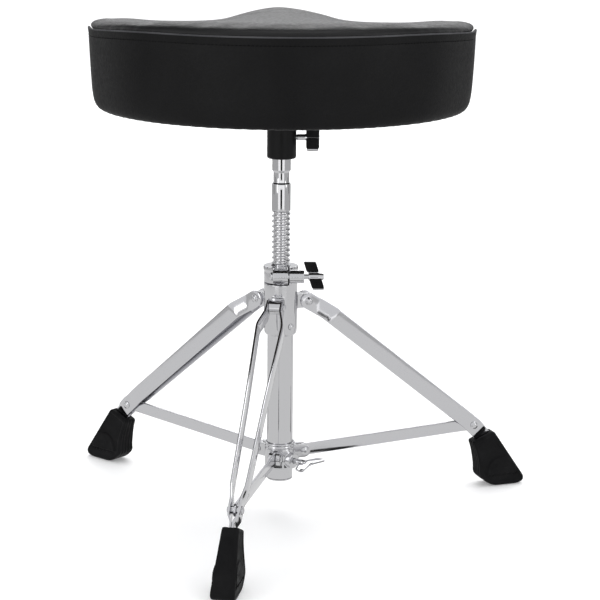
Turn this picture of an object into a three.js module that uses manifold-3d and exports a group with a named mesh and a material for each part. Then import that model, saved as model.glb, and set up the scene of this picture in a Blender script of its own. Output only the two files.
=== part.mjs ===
// Drum throne: a padded saddle seat on a threaded post, clamped in the hub of a
// folding tripod whose three legs are double steel straps, each held by a brace
// from a collar that slides on the centre tube.
// Millimetres, +Z up. The column axis is the build axis; the finished group is
// moved so that its origin is the middle of its box at floor level.

import * as THREE from 'three';
import { mergeVertices } from 'three/addons/utils/BufferGeometryUtils.js';
import Module from 'manifold-3d';

const wasm = await Module();
wasm.setup();

// ---------------------------------------------------------------- dimensions
const GAP = 0.3; // free space between neighbouring pieces
const LEG_NAMES = ['a', 'b', 'c'];
const FIRST_LEG_AZIMUTH = THREE.MathUtils.degToRad(19.34);
const LEG_SPACING = (2 * Math.PI) / LEG_NAMES.length;

const TUBE = { radius: 15.875, wall: 1.6, bottom: 38.8, top: 272 };
const POST = { radius: 11.1, neckRadius: 9.5, top: 480, neckTop: 420, neckBottom: 405 };
const THREAD = { top: 371, turns: 35, pitch: 6.35, crest: 11.15, root: 8.75, columns: 8 };
const THREAD_BOTTOM = THREAD.top - THREAD.turns * THREAD.pitch;
const SPINDLE_END = 127;

const HUB = { radius: 20.2, bottom: 220, top: 304.5, boreRadius: 11.5 };
const LUG = { half: 7, pivotRadius: 33.1, pivotHeight: 259.7, endRadius: 8.5 };
const CLAMP = { y: -21.5, z: 295, slitX: 9.5, slit: 1.6, slitZ: 284, barrelEnd: 28 };
const HUB_RIVET_HEIGHT = 231.5;
const HUB_RIVET_LAG = THREE.MathUtils.degToRad(10.3); // short of the middle between two legs

const COLLAR = { bottom: 52, top: 84, radius: 18.2, bore: 16.25 };
const EAR = { pivotRadius: 30, pivotHeight: 70, endRadius: 8, half: 6.9, slotHalf: 1.9 };
const COLLAR_BOSS = { height: 63, radius: 9.5, end: 24 };

const KNEE = { r: 62, z: 242 }; // bend of each leg strap below the hub
const ANKLE = { r: 259.3, z: 81.7 }; // rivet that joins leg and brace
const FOOT_ENTRY_SLOPE = THREE.MathUtils.degToRad(-47);
const STRAP = { half: 10, thickness: 2.5, tail: 32 };
const BRACE = { half: 7.5, thickness: 3 };
const RIVET_RADIUS = 3;

const SEAT = { radius: 232, arcCentreY: 77, bottom: 486.3, seam: 590.3, crown: 603.6 };
const COVER = 1.7; // thickness of the padded vinyl
const BAND_MIDDLE = 560; // height above which the side band stands upright
const BOARD = { bottom: 488.3, top: 500.3, inset: 12 };
const HOLLOW = { depth: 16, ridgeHalfWidth: 62, rear: -120, front: 50 };
const LOBE = { rise: 0.34, start: 150, end: 215 }; // the hollow fades towards the seat's sides
const PLATE = { size: 120, thickness: 4, top: 488 };
const SOCKET = { radius: 17.4, bottom: 434.5, bore: 11.45 };
const SEAT_BOLT_HEIGHT = 459.6;
const SEAT_SCREW_OFFSET = 45;

// ----------------------------------------------------------------- materials
function finish(color, roughness, metalness) {
  return new THREE.MeshStandardMaterial({ color, roughness, metalness });
}
const chrome = finish(0xd6d8db, 0.12, 1);
const zincSteel = finish(0xb4b6b8, 0.35, 1);
const blackVinyl = finish(0x161618, 0.5, 0);
const blackPaint = finish(0x121214, 0.45, 0.2);
const blackRubber = finish(0x141415, 0.75, 0);
const creamFoam = finish(0xe9dfc4, 0.95, 0);
const stainedPlywood = finish(0x201f1e, 0.8, 0);
const greyPlastic = finish(0x55585c, 0.6, 0);

// -------------------------------------------------------------- solid helpers
// Drops everything but position, welds the corners and removes the slivers
// that a revolved profile leaves on its axis.
function weld(geometry) {
  const bare = geometry.clone();
  for (const name of Object.keys(bare.attributes)) {
    if (name !== 'position') bare.deleteAttribute(name);
  }
  const merged = mergeVertices(bare, 1e-3);
  const old = merged.index.array;
  const kept = [];
  for (let i = 0; i < old.length; i += 3) {
    const [a, b, c] = [old[i], old[i + 1], old[i + 2]];
    if (a !== b && b !== c && a !== c) kept.push(a, b, c);
  }
  if (signedVolume(merged.attributes.position, kept) < 0) kept.reverse();
  merged.setIndex(kept);
  return merged;
}

function signedVolume(position, index) {
  const a = new THREE.Vector3();
  const b = new THREE.Vector3();
  const c = new THREE.Vector3();
  let volume = 0;
  for (let i = 0; i < index.length; i += 3) {
    a.fromBufferAttribute(position, index[i]);
    b.fromBufferAttribute(position, index[i + 1]);
    c.fromBufferAttribute(position, index[i + 2]);
    volume += a.dot(b.cross(c)) / 6;
  }
  return volume;
}

function toSolid(geometry) {
  const welded = weld(geometry);
  const vertProperties = new Float32Array(welded.attributes.position.array);
  const triVerts = new Uint32Array(welded.index.array);
  return new wasm.Manifold(new wasm.Mesh({ numProp: 3, vertProperties, triVerts }));
}

function toGeometry(solid) {
  const mesh = solid.getMesh();
  const geometry = new THREE.BufferGeometry();
  geometry.setAttribute('position', new THREE.BufferAttribute(mesh.vertProperties, 3));
  geometry.setIndex(new THREE.BufferAttribute(mesh.triVerts, 1));
  return geometry;
}

function join(...geometries) {
  return toGeometry(geometries.map(toSolid).reduce((whole, piece) => whole.add(piece)));
}

function cut(body, ...tools) {
  return toGeometry(tools.map(toSolid).reduce((rest, tool) => rest.subtract(tool), toSolid(body)));
}

// Revolves [radius, height] points about +Z.
function turned(profile, segments = 24) {
  const points = profile.map(([radius, height]) => new THREE.Vector2(radius, height));
  return new THREE.LatheGeometry(points, segments).rotateX(Math.PI / 2);
}

function turnedAlongX(profile, segments = 16) {
  return turned(profile, segments).rotateY(Math.PI / 2);
}

function turnedAlongY(profile, segments = 16) {
  return turned(profile, segments).rotateX(-Math.PI / 2);
}

function ring(inner, outer, bottom, top, segments = 24) {
  return turned([[inner, bottom], [outer, bottom], [outer, top], [inner, top], [inner, bottom]], segments);
}

function rodProfile(radius, start, end) {
  return [[0, start], [radius, start], [radius, end], [0, end]];
}

function block(x0, x1, y0, y1, z0, z1) {
  const box = new THREE.BoxGeometry(x1 - x0, y1 - y0, z1 - z0);
  return box.translate((x0 + x1) / 2, (y0 + y1) / 2, (z0 + z1) / 2);
}

// Flat plate with its outline in the XZ plane, centred on y = 0.
function plateXZ(shape, thickness, options = {}) {
  const settings = { depth: thickness, bevelEnabled: false, curveSegments: 5, ...options };
  const plate = new THREE.ExtrudeGeometry(shape, settings);
  return plate.translate(0, 0, -thickness / 2).rotateX(Math.PI / 2);
}

function polygon(points) {
  return new THREE.Shape(points.map(([x, y]) => new THREE.Vector2(x, y)));
}

function addPiece(parent, name, geometry, material) {
  const mesh = new THREE.Mesh(weld(geometry), material);
  mesh.geometry.computeVertexNormals();
  mesh.name = name;
  parent.add(mesh);
  return mesh;
}

// ----------------------------------------------------------------------- seat
// Plan of the seat: a broad round rear, and in front two thigh cut-outs with a
// nose between them. Only the front half of the right side is given by points.
function seatOutline(count) {
  const rearSteps = 9;
  const right = [];
  for (let i = 0; i <= rearSteps; i++) {
    const angle = (i / rearSteps - 1) * (Math.PI / 2);
    right.push([SEAT.radius * Math.cos(angle), SEAT.arcCentreY + SEAT.radius * Math.sin(angle)]);
  }
  const thighCutOut = [[222, 108], [196, 125], [163, 123], [130, 111], [101, 110]];
  const nose = [[76, 126], [56, 150], [30, 170], [0, 175]];
  right.push(...thighCutOut, ...nose);
  const left = right.slice(1, -1).reverse().map(([x, y]) => [-x, y]);
  const points = [...right, ...left].map(([x, y]) => new THREE.Vector3(x, y, 0));
  return new THREE.CatmullRomCurve3(points, true).getSpacedPoints(count);
}

function smoothStep(value, start, end) {
  return THREE.MathUtils.smoothstep(value, start, end);
}

// Depth of the thigh hollows below the crown: none along the rear roll, and
// growing to either side of the nose towards the front.
function thighHollow(x, y) {
  const across = 1 - Math.exp(-((x / HOLLOW.ridgeHalfWidth) ** 2));
  return HOLLOW.depth * across * smoothStep(y, HOLLOW.rear, HOLLOW.front);
}

// Part of the hollow's depth that the seat's edge takes: under half of it round
// the rear and the sides, and all of it in the thigh cut-outs.
function rimShare(y) {
  return THREE.MathUtils.lerp(0.45, 1, smoothStep(y, 60, 105));
}

// Part of the hollow's depth that the padding takes: less in the side lobes.
function crownShare(x) {
  return 1 - LOBE.rise * smoothStep(Math.abs(x), LOBE.start, LOBE.end);
}

// Takes a revolved seat section to the saddle plan and sinks its top: by the
// rim's share of the hollow at the edge, and by the crown's a little way in.
function saddle(profile, segments) {
  const outline = seatOutline(segments);
  const centre = new THREE.Vector2(0, 30);
  const section = turned(profile, segments);
  const position = section.attributes.position;
  for (let i = 0; i < position.count; i++) {
    const angle = Math.atan2(position.getX(i), -position.getY(i));
    const step = Math.round((angle / (2 * Math.PI)) * segments + segments) % segments;
    const reach = Math.hypot(position.getX(i), position.getY(i)) / SEAT.radius;
    const x = centre.x + (outline[step].x - centre.x) * reach;
    const y = centre.y + (outline[step].y - centre.y) * reach;
    const height = position.getZ(i);
    const rise = THREE.MathUtils.clamp((height - BOARD.top) / (SEAT.seam - BOARD.top), 0, 1);
    const inward = smoothStep(1 - reach, 0, 0.15);
    const share = rise * THREE.MathUtils.lerp(rimShare(outline[step].y), crownShare(x), inward);
    position.setXYZ(i, x, y, height - share * thighHollow(x, y));
  }
  return section;
}

// Sections are given as [inset from the outline, height].
function seatSection(points) {
  return points.map(([inset, height]) => [SEAT.radius - inset, height]);
}

const SEAT_SEGMENTS = 44;
const AXIS_INSET = SEAT.radius;

function seatTopCover() {
  const { seam, crown } = SEAT;
  const outside = [
    [0.2, seam], [2, seam + 4.2], [8, crown - 4.1], [17, crown - 1.2], [30, crown - 0.4], [60, crown - 0.2],
  ];
  const inside = [
    [60, crown - 1.9], [30, crown - 2.1], [17, crown - 2.9], [9, crown - 5.4], [3.7, seam + 3.7], [2, seam],
  ];
  return saddle(seatSection([
    [AXIS_INSET, crown - COVER], ...inside, ...outside, [AXIS_INSET, crown],
  ]), SEAT_SEGMENTS);
}

function seatSideCover() {
  const { seam, bottom } = SEAT;
  const edge = seam - GAP;
  const outside = [
    [40, bottom], [16, bottom], [9, bottom + 1.2], [4.5, bottom + 5.5], [2.5, bottom + 14], [0, BAND_MIDDLE],
    [0, edge],
  ];
  const inside = [
    [COVER, edge], [COVER, BAND_MIDDLE], [4.2, bottom + 14], [6.1, bottom + 6.6], [9.8, bottom + 2.9],
    [16, bottom + COVER], [40, bottom + COVER],
  ];
  return saddle(seatSection([...outside, ...inside, outside[0]]), SEAT_SEGMENTS);
}

function seatFoam() {
  const { seam, crown } = SEAT;
  const floor = BOARD.top + GAP;
  return saddle(seatSection([
    [AXIS_INSET, floor], [7, floor], [5, floor + 4], [2.6, BAND_MIDDLE], [2.8, seam - 1], [5, seam + 2.6],
    [10.4, crown - 7.4], [18, crown - 4.6], [30, crown - 3.6], [60, crown - 3.2], [AXIS_INSET, crown - 3],
  ]), SEAT_SEGMENTS);
}

function screwPlaces() {
  const places = [];
  for (const x of [-SEAT_SCREW_OFFSET, SEAT_SCREW_OFFSET]) {
    for (const y of [-SEAT_SCREW_OFFSET, SEAT_SCREW_OFFSET]) places.push([x, y]);
  }
  return places;
}

function seatScrewHoles(bottom, top) {
  const radius = 2.8;
  return screwPlaces().map(([x, y]) => turned(rodProfile(radius, bottom, top), 12).translate(x, y, 0));
}

function seatBoard() {
  const { bottom, top, inset } = BOARD;
  const disc = saddle(seatSection([
    [AXIS_INSET, bottom], [inset + 4, bottom], [inset, bottom + 3], [inset, top], [AXIS_INSET, top],
  ]), SEAT_SEGMENTS);
  return cut(disc, ...seatScrewHoles(bottom - 1, top + 1));
}

function seatBracket() {
  const half = PLATE.size / 2;
  const underside = PLATE.top - PLATE.thickness;
  const plate = block(-half, half, -half, half, underside, PLATE.top);
  const flare = 6;
  const socket = turned([
    [0, SOCKET.bottom], [SOCKET.radius - 1.5, SOCKET.bottom], [SOCKET.radius, SOCKET.bottom + 1.5],
    [SOCKET.radius, underside - flare], [SOCKET.radius + flare, underside], [0, underside + 1],
  ], 28);
  const bore = turned(rodProfile(SOCKET.bore, SOCKET.bottom - 1, POST.top + 1.5), 24);
  const boltHole = turnedAlongX(rodProfile(RIVET_RADIUS + 1, 0, SOCKET.radius + 5), 12);
  boltHole.translate(0, 0, SEAT_BOLT_HEIGHT);
  return cut(join(plate, socket), bore, boltHole, ...seatScrewHoles(underside - 1, PLATE.top + 1));
}

function seatScrew() {
  const underside = PLATE.top - PLATE.thickness;
  const headTop = underside - GAP;
  return turned([
    [0, headTop - 3], [3.2, headTop - 3], [5, headTop - 1.4], [5, headTop],
    [2.5, headTop], [2.5, BOARD.bottom + 8.7], [1, BOARD.bottom + 10], [0, BOARD.bottom + 10],
  ], 10);
}

function addSeat(parent) {
  addPiece(parent, 'seat_top_cover', seatTopCover(), blackVinyl);
  addPiece(parent, 'seat_side_cover', seatSideCover(), blackVinyl);
  addPiece(parent, 'seat_foam', seatFoam(), creamFoam);
  addPiece(parent, 'seat_board', seatBoard(), stainedPlywood);
  addPiece(parent, 'seat_bracket', seatBracket(), blackPaint);
  screwPlaces().forEach(([x, y], i) => {
    addPiece(parent, `seat_screw_${i + 1}`, seatScrew(), zincSteel).position.set(x, y, 0);
  });
}

// ----------------------------------------------------------- wing bolt and nut
// A wing has a flat metal blade each side of its core, and each blade is
// dipped in a rubber grip. The core runs along +X and the blades along Z.
const WING = { reach: 16.5, gripInner: 5.4, gripOuter: 15.6, bladeHalf: 1.2, gripHalf: 3 };

function bladeOutline(centre, halfLength, skew, low, high) {
  return polygon([
    [centre - halfLength + skew * low, low], [centre + halfLength + skew * low, low],
    [centre + halfLength + skew * high, high], [centre - halfLength + skew * high, high],
  ]);
}

function wingBlades(centre, length, skew) {
  const outline = bladeOutline(centre, length / 2 - 1.5, skew, -WING.reach, WING.reach);
  return plateXZ(outline, 2 * WING.bladeHalf);
}

function wingGrip(centre, length, skew, side) {
  const low = Math.min(side * WING.gripInner, side * WING.gripOuter);
  const high = Math.max(side * WING.gripInner, side * WING.gripOuter);
  const round = 1;
  const outline = bladeOutline(centre, length / 2, skew, low, high);
  const coat = plateXZ(outline, 2 * (WING.gripHalf - round), {
    bevelEnabled: true, bevelThickness: round, bevelSize: round, bevelOffset: -round, bevelSegments: 2,
  });
  const blade = bladeOutline(centre, length / 2 - 1.5 + GAP, skew, low - 3, high + 3);
  return cut(coat, plateXZ(blade, 2 * (WING.bladeHalf + GAP)));
}

function seatWingBolt(centre, length) {
  const tip = SOCKET.bore;
  const shank = turnedAlongX([
    [0, tip + GAP], [RIVET_RADIUS, tip + GAP + 0.8], [RIVET_RADIUS, 18], [3.6, 18.5],
    [3.6, centre - 9], [4.8, centre - 7], [4.8, centre + 6], [3.4, centre + 8], [0, centre + 8],
  ]);
  return join(shank, wingBlades(centre, length, 0));
}

function addSeatWing(parent) {
  const centre = 36.8;
  const length = 15.5;
  const group = new THREE.Group();
  group.position.z = SEAT_BOLT_HEIGHT;
  addPiece(group, 'seat_wing_bolt', seatWingBolt(centre, length), chrome);
  addPiece(group, 'seat_wing_grip_upper', wingGrip(centre, length, 0, 1), blackRubber);
  addPiece(group, 'seat_wing_grip_lower', wingGrip(centre, length, 0, -1), blackRubber);
  parent.add(group);
}

function clampWingNut(centre, length, skew) {
  const core = turnedAlongX([
    [0, 33], [4.3, 33], [4.8, 35], [4.8, 45], [3.6, 51.5], [0, 51.5],
  ]);
  const bore = turnedAlongX(rodProfile(RIVET_RADIUS + GAP, 30, 47.5), 12);
  return cut(join(core, wingBlades(centre, length, skew)), bore);
}

function addClampWing(parent) {
  const centre = 39.8;
  const length = 14.5;
  const skew = -0.25;
  const group = new THREE.Group();
  group.position.set(0, CLAMP.y, CLAMP.z);
  addPiece(group, 'clamp_wing_nut', clampWingNut(centre, length, skew), chrome);
  addPiece(group, 'clamp_wing_grip_upper', wingGrip(centre, length, skew, 1), blackRubber);
  addPiece(group, 'clamp_wing_grip_lower', wingGrip(centre, length, skew, -1), blackRubber);
  parent.add(group);
}

// -------------------------------------------------------------------- spindle
// Right-hand thread: rings of corners that climb one pitch in a turn, two to a
// pitch, one in the root and one on the crest.
function threadSolid() {
  const { columns, pitch, crest, root, turns } = THREAD;
  const perPitch = 2;
  const radii = [root, crest];
  const rows = (turns - 1) * perPitch;
  const positions = [];
  for (let column = 0; column < columns; column++) {
    const angle = (column / columns) * 2 * Math.PI;
    for (let row = 0; row <= rows; row++) {
      const height = (row / perPitch + column / columns) * pitch;
      const radius = radii[row % perPitch];
      positions.push(radius * Math.cos(angle), radius * Math.sin(angle), THREAD_BOTTOM + height);
    }
  }
  const corner = (column, row) => (column % columns) * (rows + 1) + row + (column >= columns ? perPitch : 0);
  const lowPole = positions.length / 3;
  positions.push(0, 0, THREAD_BOTTOM - 1);
  const highPole = lowPole + 1;
  positions.push(0, 0, THREAD_BOTTOM + turns * pitch + 1);
  const index = [];
  for (let column = 0; column < columns; column++) {
    const lastRow = column === columns - 1 ? rows - perPitch : rows;
    for (let row = 0; row < lastRow; row++) {
      const [a, b] = [corner(column, row), corner(column + 1, row)];
      const [c, d] = [corner(column + 1, row + 1), corner(column, row + 1)];
      index.push(a, b, c, a, c, d);
    }
    index.push(lowPole, corner(column + 1, 0), corner(column, 0));
    index.push(highPole, corner(column, lastRow), corner(column + 1, lastRow));
  }
  for (let row = 0; row < perPitch; row++) {
    index.push(lowPole, corner(0, row), corner(0, row + 1));
    const top = rows - perPitch + row;
    index.push(highPole, corner(columns - 1, top + 1), corner(columns - 1, top));
  }
  const thread = new THREE.BufferGeometry();
  thread.setAttribute('position', new THREE.Float32BufferAttribute(positions, 3));
  thread.setIndex(index);
  return thread;
}

function spindle() {
  const { radius, neckRadius, top, neckTop, neckBottom } = POST;
  const upper = turned([
    [0, THREAD.top - 14], [THREAD.root - 0.05, THREAD.top - 14], [THREAD.root - 0.05, THREAD.top - 2],
    [radius + 0.1, THREAD.top], [radius + 0.1, neckBottom], [neckRadius, neckBottom + 0.2],
    [neckRadius, neckTop - 1.5], [radius, neckTop], [radius, top - 1.5], [radius - 1.5, top], [0, top],
  ], 24);
  const stud = 8;
  const lower = turned([
    [0, SPINDLE_END], [9.5, SPINDLE_END], [10, SPINDLE_END + 6], [stud, SPINDLE_END + 6.3],
    [stud, THREAD_BOTTOM - 1.2], [THREAD.root - 0.05, THREAD_BOTTOM - 1],
    [THREAD.root - 0.05, THREAD_BOTTOM + 9], [0, THREAD_BOTTOM + 9],
  ], 24);
  return join(upper, lower, threadSolid());
}

function spindleGuideRing() {
  const studClearance = 8.35;
  const bottom = SPINDLE_END + 6.6;
  const top = THREAD_BOTTOM - 1.5;
  const outside = TUBE.radius - TUBE.wall - GAP;
  return ring(studClearance, outside, bottom, top, 20);
}

// --------------------------------------------------------------- tube and hub
function centreTube() {
  const inside = TUBE.radius - TUBE.wall;
  const tube = ring(inside, TUBE.radius, TUBE.bottom, TUBE.top, 28);
  return cut(tube, ...hubRivetHoles());
}

function hubRivetHoles() {
  return LEG_NAMES.map((_, i) => {
    const hole = turnedAlongX(rodProfile(2.8, 5, 30), 10);
    return hole.rotateZ(rivetAzimuth(i)).translate(0, 0, HUB_RIVET_HEIGHT);
  });
}

function legAzimuth(i) {
  return FIRST_LEG_AZIMUTH + i * LEG_SPACING;
}

function rivetAzimuth(i) {
  return legAzimuth(i) + LEG_SPACING / 2 - HUB_RIVET_LAG;
}

function hubLug() {
  const { half, pivotRadius, pivotHeight, endRadius } = LUG;
  const start = HUB.boreRadius + 6;
  const bar = block(start, pivotRadius, -half, half, pivotHeight - endRadius, pivotHeight + endRadius);
  const nose = turnedAlongY(rodProfile(endRadius, -half, half), 20).translate(pivotRadius, 0, pivotHeight);
  return join(bar, nose);
}

function hub() {
  const { radius, bottom, top, boreRadius } = HUB;
  const shell = turned([
    [0, bottom], [radius - 2.5, bottom], [radius - 0.7, bottom + 2], [radius, bottom + 8],
    [radius, top - 6], [radius + 0.8, top - 4.5], [radius + 0.8, top - 1], [radius, top], [0, top],
  ], 28);
  const lugs = LEG_NAMES.map((_, i) => hubLug().rotateZ(legAzimuth(i)));
  const { y, z, slitX, slit, slitZ, barrelEnd } = CLAMP;
  const fixedBarrel = turnedAlongX(rodProfile(8, slitX, barrelEnd), 20).translate(0, y, z);
  const freeBarrel = turnedAlongX(rodProfile(9.5, -9.5, slitX), 20).translate(0, y, z);
  const shellWithLugs = join(shell, ...lugs, fixedBarrel, freeBarrel);
  const tubePocket = turned(rodProfile(TUBE.radius + GAP, bottom - 1, TUBE.top + GAP), 28);
  const bore = turned(rodProfile(boreRadius, bottom, top + 1), 28);
  const levelSlit = block(-radius - 2, slitX + slit / 2, y - 12, 0, slitZ - slit / 2, slitZ + slit / 2);
  const uprightSlit = block(slitX - slit / 2, slitX + slit / 2, y - 12, -6, slitZ, top + 1);
  const boltHole = turnedAlongX(rodProfile(RIVET_RADIUS + GAP, -30, 40), 12).translate(0, y, z);
  const spotFace = turnedAlongX(rodProfile(5.5, -25, -9.5), 16).translate(0, y, z);
  return cut(
    shellWithLugs, tubePocket, bore, levelSlit, uprightSlit, boltHole, spotFace, ...hubRivetHoles(),
  );
}

function threadNut() {
  const outside = TUBE.radius - TUBE.wall - GAP;
  const nut = ring(HUB.boreRadius, outside, HUB.bottom + 2, HUB.bottom + 36, 28);
  return cut(nut, ...hubRivetHoles());
}

function hubRivet() {
  const tip = 12.1;
  const seatRadius = HUB.radius + 0.1;
  return turnedAlongX([
    [0, tip], [2.5, tip], [2.5, seatRadius], [3.8, seatRadius], [3.4, seatRadius + 1.1],
    [1.8, seatRadius + 1.9], [0, seatRadius + 2.1],
  ], 10);
}

function tubeEndCap() {
  const inside = TUBE.radius - TUBE.wall - GAP;
  const flangeTop = TUBE.bottom - GAP;
  return turned([
    [0, flangeTop - 2.4], [inside, flangeTop - 2.4], [TUBE.radius, flangeTop - 1.2], [TUBE.radius, flangeTop],
    [inside, flangeTop], [inside, flangeTop + 8], [inside - 1.5, flangeTop + 9], [0, flangeTop + 9],
  ], 20);
}

function clampBolt() {
  const headStart = -13;
  return turnedAlongX([
    [0, headStart], [3.4, headStart], [5.2, headStart + 1.4], [5.2, -9.8], [RIVET_RADIUS, -9.8],
    [RIVET_RADIUS, 46.5], [2.2, 47.2], [0, 47.2],
  ]);
}

function addBase(parent) {
  addPiece(parent, 'centre_tube', centreTube(), chrome);
  addPiece(parent, 'hub', hub(), chrome);
  addPiece(parent, 'thread_nut', threadNut(), zincSteel);
  LEG_NAMES.forEach((_, i) => {
    const rivet = addPiece(parent, `hub_rivet_${i + 1}`, hubRivet(), chrome);
    rivet.position.z = HUB_RIVET_HEIGHT;
    rivet.rotation.z = rivetAzimuth(i);
  });
  addPiece(parent, 'tube_end_cap', tubeEndCap(), chrome);
  addPiece(parent, 'clamp_bolt', clampBolt(), chrome).position.set(0, CLAMP.y, CLAMP.z);
}

// --------------------------------------------------------------------- collar
const BOSS_AZIMUTH = FIRST_LEG_AZIMUTH - LEG_SPACING / 2;

function collarEar() {
  const { pivotRadius, pivotHeight, endRadius, half, slotHalf } = EAR;
  const low = pivotHeight - endRadius;
  const high = pivotHeight + endRadius;
  const bar = block(COLLAR.bore + 0.5, pivotRadius, -half, half, low, high);
  const end = turnedAlongY(rodProfile(endRadius, -half, half), 20).translate(pivotRadius, 0, pivotHeight);
  const slotStart = COLLAR.radius + 2.6;
  const slot = block(slotStart, pivotRadius + endRadius + 2, -slotHalf, slotHalf, low - 2, high + 2);
  const pin = turnedAlongY(rodProfile(RIVET_RADIUS + GAP, -half - 1, half + 1), 12);
  return cut(join(bar, end), slot, pin.translate(pivotRadius, 0, pivotHeight));
}

function collar() {
  const { bottom, top, radius, bore } = COLLAR;
  const body = turned([
    [0, bottom], [radius - 1, bottom], [radius, bottom + 1.5], [radius, top - 7.5], [radius - 0.8, top - 6],
    [radius, top - 3.5], [radius + 0.4, top - 1], [radius - 0.4, top], [0, top],
  ], 28);
  const ears = LEG_NAMES.map((_, i) => collarEar().rotateZ(legAzimuth(i)));
  const { height, end, radius: bossRadius } = COLLAR_BOSS;
  const boss = turnedAlongX([
    [0, bore], [bossRadius, bore], [bossRadius, end - 1], [bossRadius - 1, end], [0, end],
  ], 24).rotateZ(BOSS_AZIMUTH).translate(0, 0, height);
  const boltHole = turnedAlongX(rodProfile(RIVET_RADIUS + GAP, 5, end + 1), 12).rotateZ(BOSS_AZIMUTH);
  const tubeHole = turned(rodProfile(bore, bottom - 1, top + 1), 28);
  return cut(join(body, boss, ...ears), tubeHole, boltHole.translate(0, 0, height));
}

function collarRivet() {
  const grip = EAR.half + GAP;
  return turnedAlongY([
    [0, -grip - 2], [2.6, -grip - 1.7], [4.6, -grip - 0.5], [4.6, -grip], [RIVET_RADIUS, -grip],
    [RIVET_RADIUS, grip], [4.6, grip], [4.6, grip + 0.5], [2.6, grip + 1.7], [0, grip + 2],
  ], 10);
}

// Bolt with a stamped wing that flares away from its shank like a bow tie.
function collarWingBolt() {
  const tip = TUBE.radius + GAP;
  const shank = turnedAlongX([
    [0, tip], [RIVET_RADIUS, tip + 0.6], [RIVET_RADIUS, 29], [4.6, 30], [4.6, 38], [3.2, 42], [0, 42],
  ]);
  const wing = polygon([
    [33, -3], [37, -8], [43, -21], [52, -23.5], [55, -21], [50, -6], [49, 0], [50, 6], [55, 21], [52, 23.5],
    [43, 21], [37, 8], [33, 3],
  ]);
  const blades = plateXZ(wing, 3.4);
  return join(shank, blades.rotateX(-Math.PI / 2));
}

function addCollar(parent) {
  addPiece(parent, 'collar', collar(), chrome);
  LEG_NAMES.forEach((leg, i) => {
    const arm = new THREE.Group();
    arm.rotation.z = legAzimuth(i);
    const rivet = addPiece(arm, `collar_rivet_${leg}`, collarRivet(), chrome);
    rivet.position.set(EAR.pivotRadius, 0, EAR.pivotHeight);
    parent.add(arm);
  });
  const wingTilt = THREE.MathUtils.degToRad(8);
  const holder = new THREE.Group();
  holder.rotation.z = BOSS_AZIMUTH;
  const wing = addPiece(holder, 'collar_wing_bolt', collarWingBolt(), chrome);
  wing.position.z = COLLAR_BOSS.height;
  wing.rotation.x = wingTilt;
  parent.add(holder);
}

// ----------------------------------------------------------------------- legs
// Each leg is drawn in its own plane: x outwards, y across, z up.
const HUB_PIVOT = { r: LUG.pivotRadius, z: LUG.pivotHeight };
const SHIN = Math.hypot(ANKLE.r - KNEE.r, ANKLE.z - KNEE.z);
const THIGH = Math.hypot(KNEE.r - HUB_PIVOT.r, KNEE.z - HUB_PIVOT.z);
const ANKLE_DISTANCE = THIGH + SHIN;

// Point and upward normal of the strap's middle line at a distance from the hub pivot.
function strapPoint(distance) {
  const thighSlope = Math.atan2(KNEE.z - HUB_PIVOT.z, KNEE.r - HUB_PIVOT.r);
  const shinSlope = Math.atan2(ANKLE.z - KNEE.z, ANKLE.r - KNEE.r);
  let start = { ...HUB_PIVOT };
  let along = distance;
  let slope = thighSlope;
  if (distance > THIGH) {
    start = { ...KNEE };
    along = distance - THIGH;
    slope = shinSlope;
  }
  if (distance > ANKLE_DISTANCE) {
    start = { ...ANKLE };
    along = distance - ANKLE_DISTANCE;
    slope = FOOT_ENTRY_SLOPE;
  }
  const x = start.r + along * Math.cos(slope);
  const z = start.z + along * Math.sin(slope);
  return { x, z, normalX: -Math.sin(slope), normalZ: Math.cos(slope) };
}

const STRAP_END = ANKLE_DISTANCE + STRAP.tail;
const ANKLE_SPREAD = 4.4;

// Distances of the strap's inner face from the leg's middle plane, from the
// hub lug, out to the widest spread and in again to where the two straps meet.
function strapSpread(distance) {
  const touching = GAP / 2;
  const stops = [
    [0, LUG.half + GAP], [14, LUG.half + GAP], [37, 13.6], [60, 13.9], [147, 9.8], [262, 7.3],
    [ANKLE_DISTANCE - 11, ANKLE_SPREAD], [ANKLE_DISTANCE + 9, ANKLE_SPREAD],
    [ANKLE_DISTANCE + 17.5, touching], [STRAP_END + 1, touching],
  ];
  const next = Math.max(1, stops.findIndex(([place]) => place >= distance));
  const [[d0, t0], [d1, t1]] = [stops[next - 1], stops[next]];
  const share = THREE.MathUtils.clamp((distance - d0) / (d1 - d0), 0, 1);
  return t0 + (t1 - t0) * share;
}

function strapStation(distance, half) {
  return { ...strapPoint(distance), half, spread: strapSpread(distance) };
}

// Box bent through its stations: half is half the strap's width in the leg's plane.
function bentStrip(stations, thickness) {
  const last = stations.length - 1;
  const strip = new THREE.BoxGeometry(1, 1, 1, last, 1, 1);
  const position = strip.attributes.position;
  for (let i = 0; i < position.count; i++) {
    const station = stations[Math.round((position.getX(i) + 0.5) * last)];
    const edge = Math.sign(position.getZ(i)) * station.half;
    const across = station.spread + (position.getY(i) > 0 ? thickness : 0);
    position.setXYZ(i, station.x + edge * station.normalX, across, station.z + edge * station.normalZ);
  }
  return strip;
}

function roundedEnd(distance) {
  return Math.sqrt(STRAP.half ** 2 - distance ** 2);
}

function pinHole(place, reach) {
  const hole = turnedAlongY(rodProfile(RIVET_RADIUS + GAP, -reach, reach), 10);
  return hole.translate(place.r, 0, place.z);
}

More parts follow.
